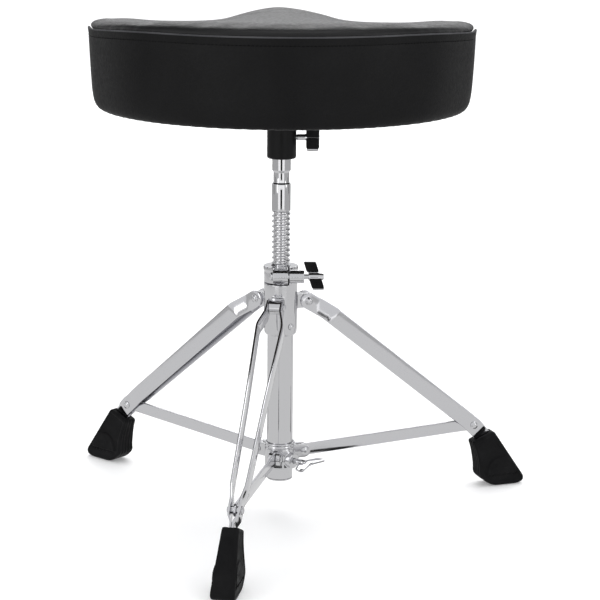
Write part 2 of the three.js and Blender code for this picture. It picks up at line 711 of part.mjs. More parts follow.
function legStrap(side) {
  const stations = [
    ...[-9.6, -8, -5, 0].map((distance) => strapStation(distance, roundedEnd(distance))),
    ...[14, 27, 34.5, 37, 48, 60, 100, 147, 200, 262].map((distance) => strapStation(distance, STRAP.half)),
    ...[-11, -1, 1, 9, 17.5].map((past) => strapStation(ANKLE_DISTANCE + past, STRAP.half)),
    strapStation(STRAP_END - 6, STRAP.half - 1), strapStation(STRAP_END, STRAP.half - 3),
  ];
  const strap = cut(bentStrip(stations, STRAP.thickness), pinHole(HUB_PIVOT, 30), pinHole(ANKLE, 30));
  return strap.scale(1, side, 1);
}

// Open pivot at the hub: each strap carries its own headed stub, flush inside.
function hubStub(side) {
  const inner = LUG.half + GAP;
  const outer = inner + STRAP.thickness + 0.1;
  const stub = turnedAlongY([
    [0, inner], [RIVET_RADIUS, inner], [RIVET_RADIUS, outer], [5, outer], [5, outer + 0.6],
    [3, outer + 2.2], [0, outer + 2.7],
  ], 10);
  return stub.translate(HUB_PIVOT.r, 0, HUB_PIVOT.z).scale(1, side, 1);
}

function ankleRivet() {
  const shoulder = 4.1;
  const braceFace = BRACE.thickness / 2 + GAP;
  const strapFace = ANKLE_SPREAD + STRAP.thickness + 0.1;
  const half = [
    [RIVET_RADIUS, braceFace], [4.8, braceFace], [4.8, shoulder], [RIVET_RADIUS, shoulder],
    [RIVET_RADIUS, strapFace], [5, strapFace], [5, strapFace + 0.6], [3, strapFace + 2.2],
    [0, strapFace + 2.7],
  ];
  const mirrored = half.map(([radius, place]) => [radius, -place]).reverse();
  return turnedAlongY([...mirrored, ...half], 10).translate(ANKLE.r, 0, ANKLE.z);
}

function brace() {
  const length = Math.hypot(ANKLE.r - EAR.pivotRadius, ANKLE.z - EAR.pivotHeight);
  const slope = Math.atan2(ANKLE.z - EAR.pivotHeight, ANKLE.r - EAR.pivotRadius);
  const shape = new THREE.Shape();
  shape.moveTo(0, -BRACE.half);
  shape.lineTo(length, -BRACE.half);
  shape.absarc(length, 0, BRACE.half, -Math.PI / 2, Math.PI / 2, false);
  shape.lineTo(0, BRACE.half);
  shape.absarc(0, 0, BRACE.half, Math.PI / 2, (3 * Math.PI) / 2, false);
  for (const place of [0, length]) {
    const hole = new THREE.Path();
    hole.absarc(place, 0, RIVET_RADIUS + GAP, 0, 2 * Math.PI, true);
    shape.holes.push(hole);
  }
  const strip = plateXZ(shape, BRACE.thickness);
  return strip.rotateY(-slope).translate(EAR.pivotRadius, 0, EAR.pivotHeight);
}

// Rubber boot: flat sole, sloping heel, straight outer edge, wider at the floor.
function foot() {
  const shape = new THREE.Shape();
  shape.moveTo(258, 59);
  shape.quadraticCurveTo(266.5, 38, 265.8, 26);
  shape.quadraticCurveTo(264.5, 20, 268, 17);
  shape.lineTo(280, 6);
  shape.quadraticCurveTo(287, 0, 295, 0);
  shape.lineTo(317, 0);
  shape.quadraticCurveTo(333, 1, 328, 11.5);
  shape.lineTo(288.5, 70);
  shape.lineTo(285, 71);
  shape.closePath();
  const round = 3;
  const soleHalf = 14;
  const neckHalf = 9.6;
  const boot = plateXZ(shape, 2 * (soleHalf - round), {
    bevelEnabled: true, bevelThickness: round, bevelSize: round, bevelOffset: -round, bevelSegments: 2,
    curveSegments: 5,
  });
  const position = boot.attributes.position;
  for (let i = 0; i < position.count; i++) {
    const narrowing = smoothStep(position.getZ(i), 12, 62);
    position.setY(i, position.getY(i) * THREE.MathUtils.lerp(1, neckHalf / soleHalf, narrowing));
  }
  const pocketHalf = STRAP.thickness + 0.5;
  const pocketStation = (past, half) => ({ ...strapPoint(ANKLE_DISTANCE + past), half, spread: -pocketHalf });
  const pocket = bentStrip([
    pocketStation(14, STRAP.half + 0.4), pocketStation(STRAP.tail - 6, STRAP.half - 0.6),
    pocketStation(STRAP.tail + 0.4, STRAP.half - 2.6),
  ], 2 * pocketHalf);
  return cut(boot, pocket);
}

function addLeg(parent, leg, azimuth) {
  const group = new THREE.Group();
  group.rotation.z = azimuth;
  for (const [label, side] of [['left', 1], ['right', -1]]) {
    addPiece(group, `leg_${leg}_strap_${label}`, legStrap(side), chrome);
    addPiece(group, `leg_${leg}_hub_rivet_${label}`, hubStub(side), chrome);
  }
  addPiece(group, `leg_${leg}_brace_rivet`, ankleRivet(), chrome);
  addPiece(group, `leg_${leg}_foot`, foot(), blackRubber);
  addPiece(group, `brace_${leg}`, brace(), chrome);
  parent.add(group);
}

// ------------------------------------------------------------------- assembly
const throne = new THREE.Group();
addSeat(throne);
addSeatWing(throne);
addPiece(throne, 'spindle', spindle(), chrome);
addPiece(throne, 'spindle_guide_ring', spindleGuideRing(), greyPlastic);
addBase(throne);
addClampWing(throne);
addCollar(throne);
LEG_NAMES.forEach((leg, i) => addLeg(throne, leg, legAzimuth(i)));

throne.updateMatrixWorld(true);
const box = new THREE.Box3().setFromObject(throne, true);
const centre = box.getCenter(new THREE.Vector3());
throne.position.set(-centre.x, -centre.y, -box.min.z);
throne.updateMatrixWorld(true);

export default throne;
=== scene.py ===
# Looks of the drum throne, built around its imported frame.
# Shapes are made in millimetres about the column axis, with the floor at z = 0,
# and taken into the frame (metres) once each piece is complete.
import math

import bmesh
import bpy
from mathutils import Matrix, Vector


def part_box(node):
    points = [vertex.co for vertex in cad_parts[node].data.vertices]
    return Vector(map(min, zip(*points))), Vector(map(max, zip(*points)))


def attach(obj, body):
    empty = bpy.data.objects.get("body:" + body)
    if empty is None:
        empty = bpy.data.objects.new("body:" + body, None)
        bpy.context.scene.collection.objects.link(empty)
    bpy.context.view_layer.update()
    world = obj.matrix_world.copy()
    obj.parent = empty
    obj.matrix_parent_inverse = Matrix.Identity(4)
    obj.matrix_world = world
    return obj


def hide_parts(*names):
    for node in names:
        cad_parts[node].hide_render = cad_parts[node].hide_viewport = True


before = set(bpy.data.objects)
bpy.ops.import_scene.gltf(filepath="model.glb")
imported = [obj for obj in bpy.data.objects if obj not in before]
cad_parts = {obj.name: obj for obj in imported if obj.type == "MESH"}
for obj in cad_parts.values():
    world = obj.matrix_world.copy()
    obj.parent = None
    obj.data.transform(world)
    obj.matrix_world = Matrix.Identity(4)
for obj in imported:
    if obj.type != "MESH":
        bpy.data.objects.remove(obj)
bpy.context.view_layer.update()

# ------------------------------------------------------------------ dimensions
MM = 0.001
tube_low, tube_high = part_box("centre_tube")
COLUMN = Matrix.Translation(((tube_low.x + tube_high.x) / 2, (tube_low.y + tube_high.y) / 2, 0))
LEGS = ("a", "b", "c")
FIRST_LEG_AZIMUTH = math.radians(19.34)
LEG_SPACING = 2 * math.pi / len(LEGS)

TUBE_RADIUS = 15.875
TUBE_INSIDE = TUBE_RADIUS - 1.6
TUBE_BOTTOM = 38.8
TUBE_TOP = 272.0
POST_RADIUS = 11.1
POST_TOP = 480.0
NECK_RADIUS = 9.5
NECK = (405.0, 420.0)
THREAD_TOP = 371.0
THREAD_TURNS = 35
THREAD_PITCH = 6.35
THREAD_BOTTOM = THREAD_TOP - THREAD_TURNS * THREAD_PITCH
THREAD_CREST = 11.15
THREAD_ROOT = 9.1
SPINDLE_END = 127.0

HUB_RADIUS = 20.2
HUB_BOTTOM = 220.0
HUB_TOP = 304.5
HUB_BORE = 11.5
LUG_HALF = 7.0
LUG_PIVOT = Vector((33.1, 0, 259.7))
LUG_END = 8.5
CLAMP = Vector((0, -21.5, 295.0))
SLIT_X = 9.5
SLIT_Z = 284.0
SLIT = 1.6
HUB_RIVET_HEIGHT = 231.5
HUB_RIVET_LAG = math.radians(10.3)

COLLAR_BOTTOM = 52.0
COLLAR_TOP = 84.0
COLLAR_RADIUS = 18.2
COLLAR_BORE = 16.25
EAR_PIVOT = Vector((30.0, 0, 70.0))
EAR_END = 8.0
EAR_HALF = 6.9
EAR_SLOT = 1.9
BOSS_AZIMUTH = FIRST_LEG_AZIMUTH - LEG_SPACING / 2
BOSS_HEIGHT = 63.0

KNEE = Vector((62.0, 0, 242.0))
ANKLE = Vector((259.3, 0, 81.7))
FOOT_SLOPE = math.radians(-47)
STRAP_HALF = 10.0
STRAP_THICKNESS = 2.5
STRAP_TAIL = 32.0
BRACE_HALF = 7.5
BRACE_THICKNESS = 3.0
RIVET_RADIUS = 3.0

SEAT_RADIUS = 232.0
SEAT_ARC_Y = 77.0
SEAT_BOTTOM = 486.3
SEAT_SEAM = 590.3
SEAT_CROWN = 603.6
STITCH_HEIGHT = SEAT_SEAM - 9.5
SEAT_MIDDLE = Vector((0, 30, 0))
COVER = 1.7
BOARD_BOTTOM = 488.3
BOARD_TOP = 500.3
PLATE_TOP = 488.0
PLATE_THICKNESS = 4.0
PLATE_HALF = 60.0
SOCKET_RADIUS = 17.4
SOCKET_BOTTOM = 434.5
SEAT_BOLT_HEIGHT = 459.6
SCREW_OFFSET = 45.0

CAMERA_PLACE = Vector((0, -2254, 771.9))
CAMERA_PITCH = 0.2227
CAMERA_PAN = 0.0104
CAMERA_ROLL = 0.009
CAMERA_LENS = 114.66

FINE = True


# ------------------------------------------------------------------ mesh tools
def clamp01(value):
    return max(0.0, min(1.0, value))


def smoothstep(low, high, value):
    t = clamp01((value - low) / (high - low))
    return t * t * (3 - 2 * t)


def mix(a, b, t):
    return a + (b - a) * t


def solid(name, shape):
    """A bmesh in millimetres becomes an object, still in millimetres."""
    bmesh.ops.recalc_face_normals(shape, faces=shape.faces)
    mesh = bpy.data.meshes.new(name)
    shape.to_mesh(mesh)
    shape.free()
    obj = bpy.data.objects.new(name, mesh)
    show(obj)
    return obj


def show(obj):
    bpy.context.scene.collection.objects.link(obj)


def discard(obj):
    mesh = obj.data
    bpy.data.objects.remove(obj)
    bpy.data.meshes.remove(mesh)


def apply_modifiers(obj):
    graph = bpy.context.evaluated_depsgraph_get()
    mesh = bpy.data.meshes.new_from_object(obj.evaluated_get(graph))
    old = obj.data
    obj.modifiers.clear()
    obj.data = mesh
    bpy.data.meshes.remove(old)
    return obj


def combine(obj, tools, operation):
    """Joins or cuts obj with each tool in turn, and removes the tools."""
    for tool in tools:
        step = obj.modifiers.new("combine", "BOOLEAN")
        step.object = tool
        step.operation = operation
        step.solver = "MANIFOLD"
    apply_modifiers(obj)
    for tool in tools:
        discard(tool)
    return obj


def cast(obj, voxel, passes):
    """Turns a sharp solid into one skin with the soft edges of a casting."""
    remesh = obj.modifiers.new("skin", "REMESH")
    remesh.mode = "VOXEL"
    remesh.voxel_size = voxel if FINE else 1.6 * voxel
    soften = obj.modifiers.new("soften", "SMOOTH")
    soften.factor = 0.5
    soften.iterations = passes
    return apply_modifiers(obj)


def bevelled(obj, width, segments=3, angle=35):
    bevel = obj.modifiers.new("edge", "BEVEL")
    bevel.width = width
    bevel.segments = segments
    bevel.limit_method = "ANGLE"
    bevel.angle_limit = math.radians(angle)
    return apply_modifiers(obj)


def rounded(points, closed=False, steps=4):
    """Corners given as (a, b, radius) become short curves; (a, b) stays sharp."""
    result = []
    count = len(points)
    for i, point in enumerate(points):
        corner = Vector(point[:2])
        is_end = not closed and i in (0, count - 1)
        if len(point) < 3 or is_end:
            result.append(corner)
            continue
        before = Vector(points[i - 1][:2]) - corner
        after = Vector(points[(i + 1) % count][:2]) - corner
        start = corner + before.normalized() * min(point[2], before.length * 0.49)
        end = corner + after.normalized() * min(point[2], after.length * 0.49)
        for step in range(steps + 1):
            t = step / steps
            result.append(start * (1 - t) ** 2 + corner * 2 * t * (1 - t) + end * t ** 2)
    return result


def loft(rings, capped=False, closed=False):
    """A bmesh through rings of points; a ring of one point closes to a pole."""
    shape = bmesh.new()
    levels = [[shape.verts.new(point) for point in ring] for ring in rings]
    pairs = list(zip(levels, levels[1:]))
    if closed:
        pairs.append((levels[-1], levels[0]))
    for low, high in pairs:
        count = max(len(low), len(high))
        for i in range(count):
            j = (i + 1) % count
            if len(low) == 1:
                shape.faces.new((low[0], high[i], high[j]))
            elif len(high) == 1:
                shape.faces.new((low[j], low[i], high[0]))
            else:
                shape.faces.new((low[i], high[i], high[j], low[j]))
    if capped:
        shape.faces.new(levels[0])
        shape.faces.new(levels[-1])
    return shape


def revolve(profile, segments=72, closed=False, around=Matrix.Identity(4)):
    """Turns (radius, height) points about Z, then places the solid."""
    rings = []
    for radius, height in profile:
        if radius < 1e-6:
            rings.append([Vector((0, 0, height))])
            continue
        ring = []
        for i in range(segments):
            angle = 2 * math.pi * i / segments
            ring.append(Vector((radius * math.cos(angle), radius * math.sin(angle), height)))
        rings.append(ring)
    shape = loft(rings, closed=closed)
    bmesh.ops.transform(shape, matrix=around, verts=shape.verts)
    return shape


ALONG_X = Matrix.Rotation(math.pi / 2, 4, "Y")
ALONG_Y = Matrix.Rotation(-math.pi / 2, 4, "X")


def turned(name, profile, segments=72, around=Matrix.Identity(4), closed=False):
    return solid(name, revolve(profile, segments, closed, around))


def rod(radius, start, end, around=Matrix.Identity(4), segments=48):
    return turned("rod", [(0, start), (radius, start), (radius, end), (0, end)], segments, around)


def block(low, high, around=Matrix.Identity(4)):
    shape = bmesh.new()
    bmesh.ops.create_cube(shape, size=1)
    size = Vector(high) - Vector(low)
    middle = (Vector(high) + Vector(low)) / 2
    place = Matrix.Translation(middle) @ Matrix.Diagonal((*size, 1))
    bmesh.ops.transform(shape, matrix=around @ place, verts=shape.verts)
    return shape


def plate(outline, half, around=Matrix.Identity(4)):
    """Flat solid with its outline in the XZ plane, from y = -half to half."""
    front = [Vector((x, -half, z)) for x, z in outline]
    back = [Vector((x, half, z)) for x, z in outline]
    shape = loft([front, back], capped=True)
    bmesh.ops.transform(shape, matrix=around, verts=shape.verts)
    return shape


def merged(name, shapes):
    """Several closed bmeshes in one object."""
    whole = bmesh.new()
    for shape in shapes:
        mesh = bpy.data.meshes.new("part")
        bmesh.ops.recalc_face_normals(shape, faces=shape.faces)
        shape.to_mesh(mesh)
        shape.free()
        whole.from_mesh(mesh)
        bpy.data.meshes.remove(mesh)
    return solid(name, whole)


def finished(obj, body, material, nodes=(), sharp=45):
    """Takes a piece into the frame, paints it, and lets it ride on its body."""
    obj.data.transform(COLUMN @ Matrix.Scale(MM, 4))
    obj.data.materials.clear()
    obj.data.materials.append(material)
    obj.data.shade_smooth()
    obj.data.set_sharp_from_angle(angle=math.radians(sharp))
    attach(obj, body)
    if nodes:
        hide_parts(*nodes)
    return obj


def leg_turn(i):
    return Matrix.Rotation(FIRST_LEG_AZIMUTH + i * LEG_SPACING, 4, "Z")


def rivet_turn(i):
    return Matrix.Rotation(FIRST_LEG_AZIMUTH + (i + 0.5) * LEG_SPACING - HUB_RIVET_LAG, 4, "Z")


# ------------------------------------------------------------------- materials
NOISE_BAND = (0.3, 0.7)


class Surface:
    """A procedural material: a principled shader and the nodes that feed it."""

    def __init__(self, name, color, roughness, metallic=0.0, specular=0.5):
        self.material = bpy.data.materials.new(name)
        self.material.use_nodes = True
        self.shader = self.material.node_tree.nodes["Principled BSDF"]
        self.put("Base Color", (*color, 1))
        self.put("Roughness", roughness)
        self.put("Metallic", metallic)
        self.put("Specular IOR Level", specular)

    def put(self, name, value):
        self.shader.inputs[name].default_value = value

    def glow(self, level, strength):
        self.put("Emission Color", (level, level, level, 1))
        self.put("Emission Strength", strength)

    def link(self, source, target):
        self.material.node_tree.links.new(source, target)

    def feed(self, name, source):
        self.link(source, self.shader.inputs[name])

    def node(self, kind, **values):
        """A new node; each value goes to the socket of that name, or to the node itself."""
        node = self.material.node_tree.nodes.new(kind)
        for name, value in values.items():
            socket = node.inputs.get(name.replace("_", " ").title())
            if socket is None:
                setattr(node, name, value)
            else:
                socket.default_value = value
        return node

    def space(self, stretch=(1, 1, 1)):
        place = self.node("ShaderNodeTexCoord")
        mapping = self.node("ShaderNodeMapping", scale=stretch)
        self.link(place.outputs["Object"], mapping.inputs["Vector"])
        return mapping.outputs["Vector"]

    def texture(self, kind, space, output, **values):
        node = self.node(kind, **values)
        self.link(space, node.inputs["Vector"])
        return node.outputs[output]

    def noise(self, space, scale, detail=3.0, roughness=0.5):
        return self.texture(
            "ShaderNodeTexNoise", space, "Fac", scale=scale, detail=detail, roughness=roughness)

    def remap(self, source, low, high):
        """A noise, which mostly stays in its band, spread from low to high."""
        start, end = NOISE_BAND
        node = self.node("ShaderNodeMapRange", from_min=start, from_max=end, to_min=low, to_max=high)
        self.link(source, node.inputs["Value"])
        return node.outputs["Result"]

    def ramp(self, source, dark, light, band=NOISE_BAND):
        node = self.node("ShaderNodeValToRGB")
        for stop, place, color in zip(node.color_ramp.elements, band, (dark, light)):
            stop.position = place
            stop.color = (*color, 1)
        self.link(source, node.inputs["Fac"])
        return node.outputs["Color"]

    def bump(self, *layers):
        """Adds bump layers, each (height, depth in metres, strength), one on another."""
        normal = None
        for height, depth, strength in layers:
            node = self.node("ShaderNodeBump", strength=strength, distance=depth)
            self.link(height, node.inputs["Height"])
            if normal is not None:
                self.link(normal, node.inputs["Normal"])
            normal = node.outputs["Normal"]
        self.feed("Normal", normal)


def chrome_material(name, color, roughness, waviness):
    """Bright plating: even colour, a slight bloom, fine hairlines and a low wave."""
    skin = Surface(name, color, roughness, metallic=1.0)
    space = skin.space()
    bloom = skin.noise(space, 38, 4)
    skin.feed("Roughness", skin.remap(bloom, 0.6 * roughness, 1.6 * roughness))
    wave = skin.noise(space, 55, 1)
    hairlines = skin.noise(skin.space((1, 1, 0.04)), 2600, 2)
    skin.bump((wave, 0.0006, waviness), (hairlines, 0.00001, 0.12))
    return skin.material


def vinyl_material(name, shade, roughness, specular):
    """Black upholstery vinyl with a pebbled leather grain and fine pores."""
    skin = Surface(name, (shade, shade, 1.1 * shade), roughness, specular=specular)
    space = skin.space()
    patches = skin.noise(space, 17, 5)
    dark = (0.75 * shade, 0.75 * shade, 0.85 * shade)
    light = (1.4 * shade, 1.4 * shade, 1.5 * shade)
    skin.feed("Base Color", skin.ramp(patches, dark, light))
    skin.feed("Roughness", skin.remap(skin.noise(space, 240), 0.87 * roughness, 1.15 * roughness))
    bend = skin.texture("ShaderNodeTexNoise", space, "Color", scale=420.0, detail=2.0)
    warp = skin.node("ShaderNodeVectorMath", operation="MULTIPLY_ADD")
    skin.link(bend, warp.inputs[0])
    warp.inputs[1].default_value = (0.0008, 0.0008, 0.0008)
    skin.link(space, warp.inputs[2])
    pebbles = skin.texture(
        "ShaderNodeTexVoronoi", warp.outputs["Vector"], "Distance", feature="SMOOTH_F1", scale=760.0)
    pores = skin.noise(space, 2400, 2)
    skin.bump((pebbles, 0.0004, 0.42), (pores, 0.0001, 0.2))
    return skin.material


def paint_material():
    """Black satin powder coat with a fine orange peel."""
    skin = Surface("black_paint", (0.004, 0.004, 0.0045), 0.36, specular=0.16)
    space = skin.space()
    skin.feed("Roughness", skin.remap(skin.noise(space, 90), 0.3, 0.43))
    skin.bump((skin.noise(space, 900, 2), 0.0001, 0.25))
    return skin.material


def rubber_material():
    """Moulded black rubber: dull, slightly mottled, with a fine matt skin."""
    skin = Surface("black_rubber", (0.005, 0.005, 0.0054), 0.55, specular=0.1)
    space = skin.space()
    mottle = skin.noise(space, 60, 5)
    skin.feed("Base Color", skin.ramp(mottle, (0.0035, 0.0035, 0.004), (0.0075, 0.0075, 0.008)))
    skin.feed("Roughness", skin.remap(skin.noise(space, 150), 0.46, 0.66))
    skin.bump((skin.noise(space, 1500), 0.0001, 0.3))
    return skin.material


def thread_material():
    """Black polyester sewing thread with its twist."""
    skin = Surface("sewing_thread", (0.002, 0.002, 0.0022), 0.6, specular=0.08)
    skin.feed("Roughness", skin.remap(skin.noise(skin.space(), 1800, 2), 0.45, 0.7))
    skin.bump((skin.noise(skin.space((1, 1, 3)), 2600, 1), 0.0001, 0.5))
    return skin.material


def foam_material():
    """Cut cream polyurethane foam with open cells."""
    skin = Surface("cream_foam", (0.78, 0.7, 0.5), 0.95, specular=0.15)
    space = skin.space()
    skin.feed("Base Color", skin.ramp(skin.noise(space, 14, 4), (0.7, 0.6, 0.4), (0.85, 0.78, 0.6)))
    cells = skin.texture("ShaderNodeTexVoronoi", space, "Distance", feature="F1", scale=900.0)
    skin.bump((cells, 0.0006, 0.7))
    return skin.material


def plywood_material():
    """Plywood stained black: the long grain and the glue lines still show through."""
    skin = Surface("stained_plywood", (0.02, 0.018, 0.016), 0.7, specular=0.25)
    grain = skin.noise(skin.space((0.05, 1, 1)), 260, 6, 0.6)
    face = skin.ramp(grain, (0.009, 0.008, 0.0075), (0.034, 0.029, 0.025), (0.35, 0.65))
    plies = skin.texture(
        "ShaderNodeTexWave", skin.space(), "Fac", bands_direction="Z", scale=130.0, distortion=0.4)
    glue = skin.ramp(plies, (0.6, 0.48, 0.36), (1, 1, 1), (0.04, 0.3))
    blend = skin.node("ShaderNodeMix", data_type="RGBA", blend_type="MULTIPLY")
    blend.inputs["Factor"].default_value = 1
    skin.link(face, blend.inputs[6])
    skin.link(glue, blend.inputs[7])
    skin.feed("Base Color", blend.outputs[2])
    skin.bump((grain, 0.0002, 0.5))
    return skin.material


def plastic_material():
    """Grey moulded nylon with faint flow marks."""
    skin = Surface("grey_nylon", (0.1, 0.11, 0.12), 0.5)
    flow = skin.noise(skin.space((1, 1, 0.3)), 160, 4)
    skin.feed("Base Color", skin.ramp(flow, (0.085, 0.093, 0.1), (0.125, 0.135, 0.145)))
    skin.bump((flow, 0.0002, 0.3))
    return skin.material


CHROME = chrome_material("chrome_plate", (0.66, 0.66, 0.675), 0.055, 0.1)
CAST_CHROME = chrome_material("chrome_casting", (0.65, 0.65, 0.665), 0.085, 0.35)
STRAP_CHROME = chrome_material("chrome_strip", (0.67, 0.67, 0.69), 0.1, 0.22)
ZINC = chrome_material("zinc_plate", (0.55, 0.56, 0.55), 0.26, 0.2)
TOP_VINYL = vinyl_material("black_vinyl_top", 0.005, 0.4, 0.3)
BAND_VINYL = vinyl_material("black_vinyl_band", 0.0035, 0.46, 0.14)
PAINT = paint_material()
RUBBER = rubber_material()
# Lighter vinyl for the band's folded top edge: a painted highlight line along the seam.
EDGE_PAINTED_HIGHLIGHT = vinyl_material("black_vinyl_edge_painted_highlight", 0.042, 0.6, 0.3)
STITCHING = thread_material()
FOAM = foam_material()
PLYWOOD = plywood_material()
NYLON = plastic_material()


# ------------------------------------------------------------------ seat form
def catmull_rom(points, steps):
    """Closed centripetal curve through the points."""
    curve = []
    count = len(points)
    for i in range(count):
        p0, p1, p2, p3 = (points[(i + k) % count] for k in (-1, 0, 1, 2))
        d0, d1, d2 = (math.sqrt((b - a).length) for a, b in ((p0, p1), (p1, p2), (p2, p3)))
        m1 = ((p1 - p0) / d0 - (p2 - p0) / (d0 + d1) + (p2 - p1) / d1) * d1
        m2 = ((p2 - p1) / d1 - (p3 - p1) / (d1 + d2) + (p3 - p2) / d2) * d1
        for step in range(steps):
            t = step / steps
            curve.append(
                p1 * (2 * t ** 3 - 3 * t ** 2 + 1) + m1 * (t ** 3 - 2 * t ** 2 + t)
                + p2 * (3 * t ** 2 - 2 * t ** 3) + m2 * (t ** 3 - t ** 2)
            )
    return curve


def evenly_spaced(curve, count):
    """Points at equal distances round a closed curve."""
    loop = curve + [curve[0]]
    lengths = [0.0]
    for a, b in zip(loop, loop[1:]):
        lengths.append(lengths[-1] + (b - a).length)
    result = []
    segment = 0
    for i in range(count):
        target = lengths[-1] * i / count
        while lengths[segment + 1] < target:
            segment += 1
        t = (target - lengths[segment]) / (lengths[segment + 1] - lengths[segment])
        result.append(loop[segment].lerp(loop[segment + 1], t))
    return result


def seat_outline(count):
    """Plan of the seat: a round rear, two thigh cut-outs and a nose between them."""
    rear_steps = 9
    right = []
    for i in range(rear_steps + 1):
        angle = -math.pi / 2 + i / rear_steps * math.pi / 2
        right.append((SEAT_RADIUS * math.cos(angle), SEAT_ARC_Y + SEAT_RADIUS * math.sin(angle)))
    right += [(222, 108), (196, 125), (163, 123), (130, 111), (101, 110)]
    right += [(76, 126), (56, 150), (30, 170), (0, 175)]
    left = [(-x, y) for x, y in reversed(right[1:-1])]
    points = [Vector((x, y, 0)) for x, y in right + left]
    return evenly_spaced(catmull_rom(points, 12), count)


def thigh_hollow(x, y):
    """Depth of the hollows either side of the nose ridge, none along the rear roll."""
    across = 1 - math.exp(-((x / 62) ** 2))
    return 16 * across * smoothstep(-120, 50, y)


def rim_share(y):
    """Part of the hollow's depth that the seat's edge takes, all of it in the cut-outs."""
    return mix(0.45, 1.0, smoothstep(60, 105, y))


def crown_share(x):
    """Part of the hollow's depth that the padding takes, less in the side lobes."""
    return 1 - 0.34 * smoothstep(150, 215, abs(x))


def seam_height(x, y):
    return SEAT_SEAM - rim_share(y) * thigh_hollow(x, y)


def on_saddle(edge, inset, height):
    """A point of a seat section, taken to the plan point edge and sunk by the hollows."""
    reach = 1 - inset / SEAT_RADIUS
    point = SEAT_MIDDLE + (edge - SEAT_MIDDLE) * reach
    rise = clamp01((height - BOARD_TOP) / (SEAT_SEAM - BOARD_TOP))
    share = rise * mix(rim_share(edge.y), crown_share(point.x), smoothstep(0, 0.15, 1 - reach))
    return Vector((point.x, point.y, height - share * thigh_hollow(point.x, point.y)))


def seat_loft(section, columns, closed=False):
    """Lofts (inset, height) rings; an inset of the whole radius closes to a pole."""
    outline = seat_outline(columns)
    rings = []
    for inset, height in section:
        if inset >= SEAT_RADIUS:
            rings.append([on_saddle(SEAT_MIDDLE, 0, height)])
        else:
            rings.append([on_saddle(edge, inset, height) for edge in outline])
    return loft(rings, closed=closed)


def subdivided(section, longest):
    """Adds rings so that no step of a section is longer than the given length."""
    result = [Vector(section[0])]
    for a, b in zip(section, section[1:]):
        start, end = Vector(a), Vector(b)
        steps = max(1, math.ceil((end - start).length / longest))
        result += [start.lerp(end, (k + 1) / steps) for k in range(steps)]
    return result


# ---------------------------------------------------------------- seat pieces
PANEL_CAP = 1.6


def panel_blank():
    """The top panel before it is blown up: a thin closed pad over the foam."""
    top = rounded([
        (1.0, SEAT_SEAM - 1), (1.8, SEAT_SEAM + 5.5, 6), (11, SEAT_CROWN - 3.4, 10),
        (30, SEAT_CROWN - 1.8, 12), (70, SEAT_CROWN - 1.4, 20), (SEAT_RADIUS, SEAT_CROWN - 1.2),
    ])
    under = [(SEAT_RADIUS, SEAT_SEAM - 4), (30, SEAT_SEAM - 3.5), (8, SEAT_SEAM - 2.5)]
    section = subdivided(under + [tuple(p) for p in top], 12)
    return solid("seat_top_panel", seat_loft(section, 180))


def blow_up(obj, pressure, frames, cap):
    """Inflates a closed panel as cloth, sewn down at its seam, and keeps each move under cap."""
    obj.data.transform(Matrix.Scale(MM, 4))
    rest = [vertex.co.copy() for vertex in obj.data.vertices]
    pins = obj.vertex_groups.new(name="pins")
    for i, place in enumerate(rest):
        if place.z / MM < seam_height(place.x / MM, place.y / MM) + 1:
            pins.add([i], 1.0, "ADD")
    cloth = obj.modifiers.new("cloth", "CLOTH")
    cloth.settings.use_pressure = True
    cloth.settings.uniform_pressure_force = pressure
    cloth.settings.effector_weights.gravity = 0
    cloth.settings.vertex_group_mass = "pins"
    cloth.settings.tension_stiffness = 18
    cloth.settings.compression_stiffness = 18
    cloth.settings.bending_stiffness = 4
    cloth.point_cache.frame_start = 1
    cloth.point_cache.frame_end = frames
    scene = bpy.context.scene
    for step in range(1, frames + 1):
        scene.frame_set(step)
    graph = bpy.context.evaluated_depsgraph_get()
    blown = [vertex.co.copy() for vertex in obj.evaluated_get(graph).data.vertices]
    obj.modifiers.clear()
    obj.vertex_groups.clear()
    scene.frame_set(1)
    for vertex, before, after in zip(obj.data.vertices, rest, blown):
        move = after - before
        if move.length > cap * MM:
            move = move.normalized() * cap * MM
        vertex.co = before + move
    obj.data.transform(Matrix.Scale(1 / MM, 4))


def seam_puckers(obj):
    """Small gathers where the panel is sewn down, fading out over the roll."""
    for vertex in obj.data.vertices:
        x, y, z = vertex.co
        above = z - seam_height(x, y)
        near = smoothstep(14, 3, above) if above > 0 else 0
        angle = math.atan2(y - SEAT_MIDDLE.y, x)
        gather = math.sin(61 * angle + 2.1 * math.sin(7 * angle)) * math.sin(23 * angle + 0.7)
        out = Vector((x, y - SEAT_MIDDLE.y, 0)).normalized()
        vertex.co += out * 0.35 * gather * near


def seat_top_panel():
    obj = panel_blank()
    if FINE:
        blow_up(obj, 2.5, 20, PANEL_CAP)
    soften = obj.modifiers.new("soften", "SMOOTH")
    soften.iterations = 3
    finer = obj.modifiers.new("finer", "SUBSURF")
    finer.levels = 1
    finer.render_levels = 1
    apply_modifiers(obj)
    seam_puckers(obj)
    finished(obj, "seat", TOP_VINYL, ["seat_top_cover"], sharp=80)


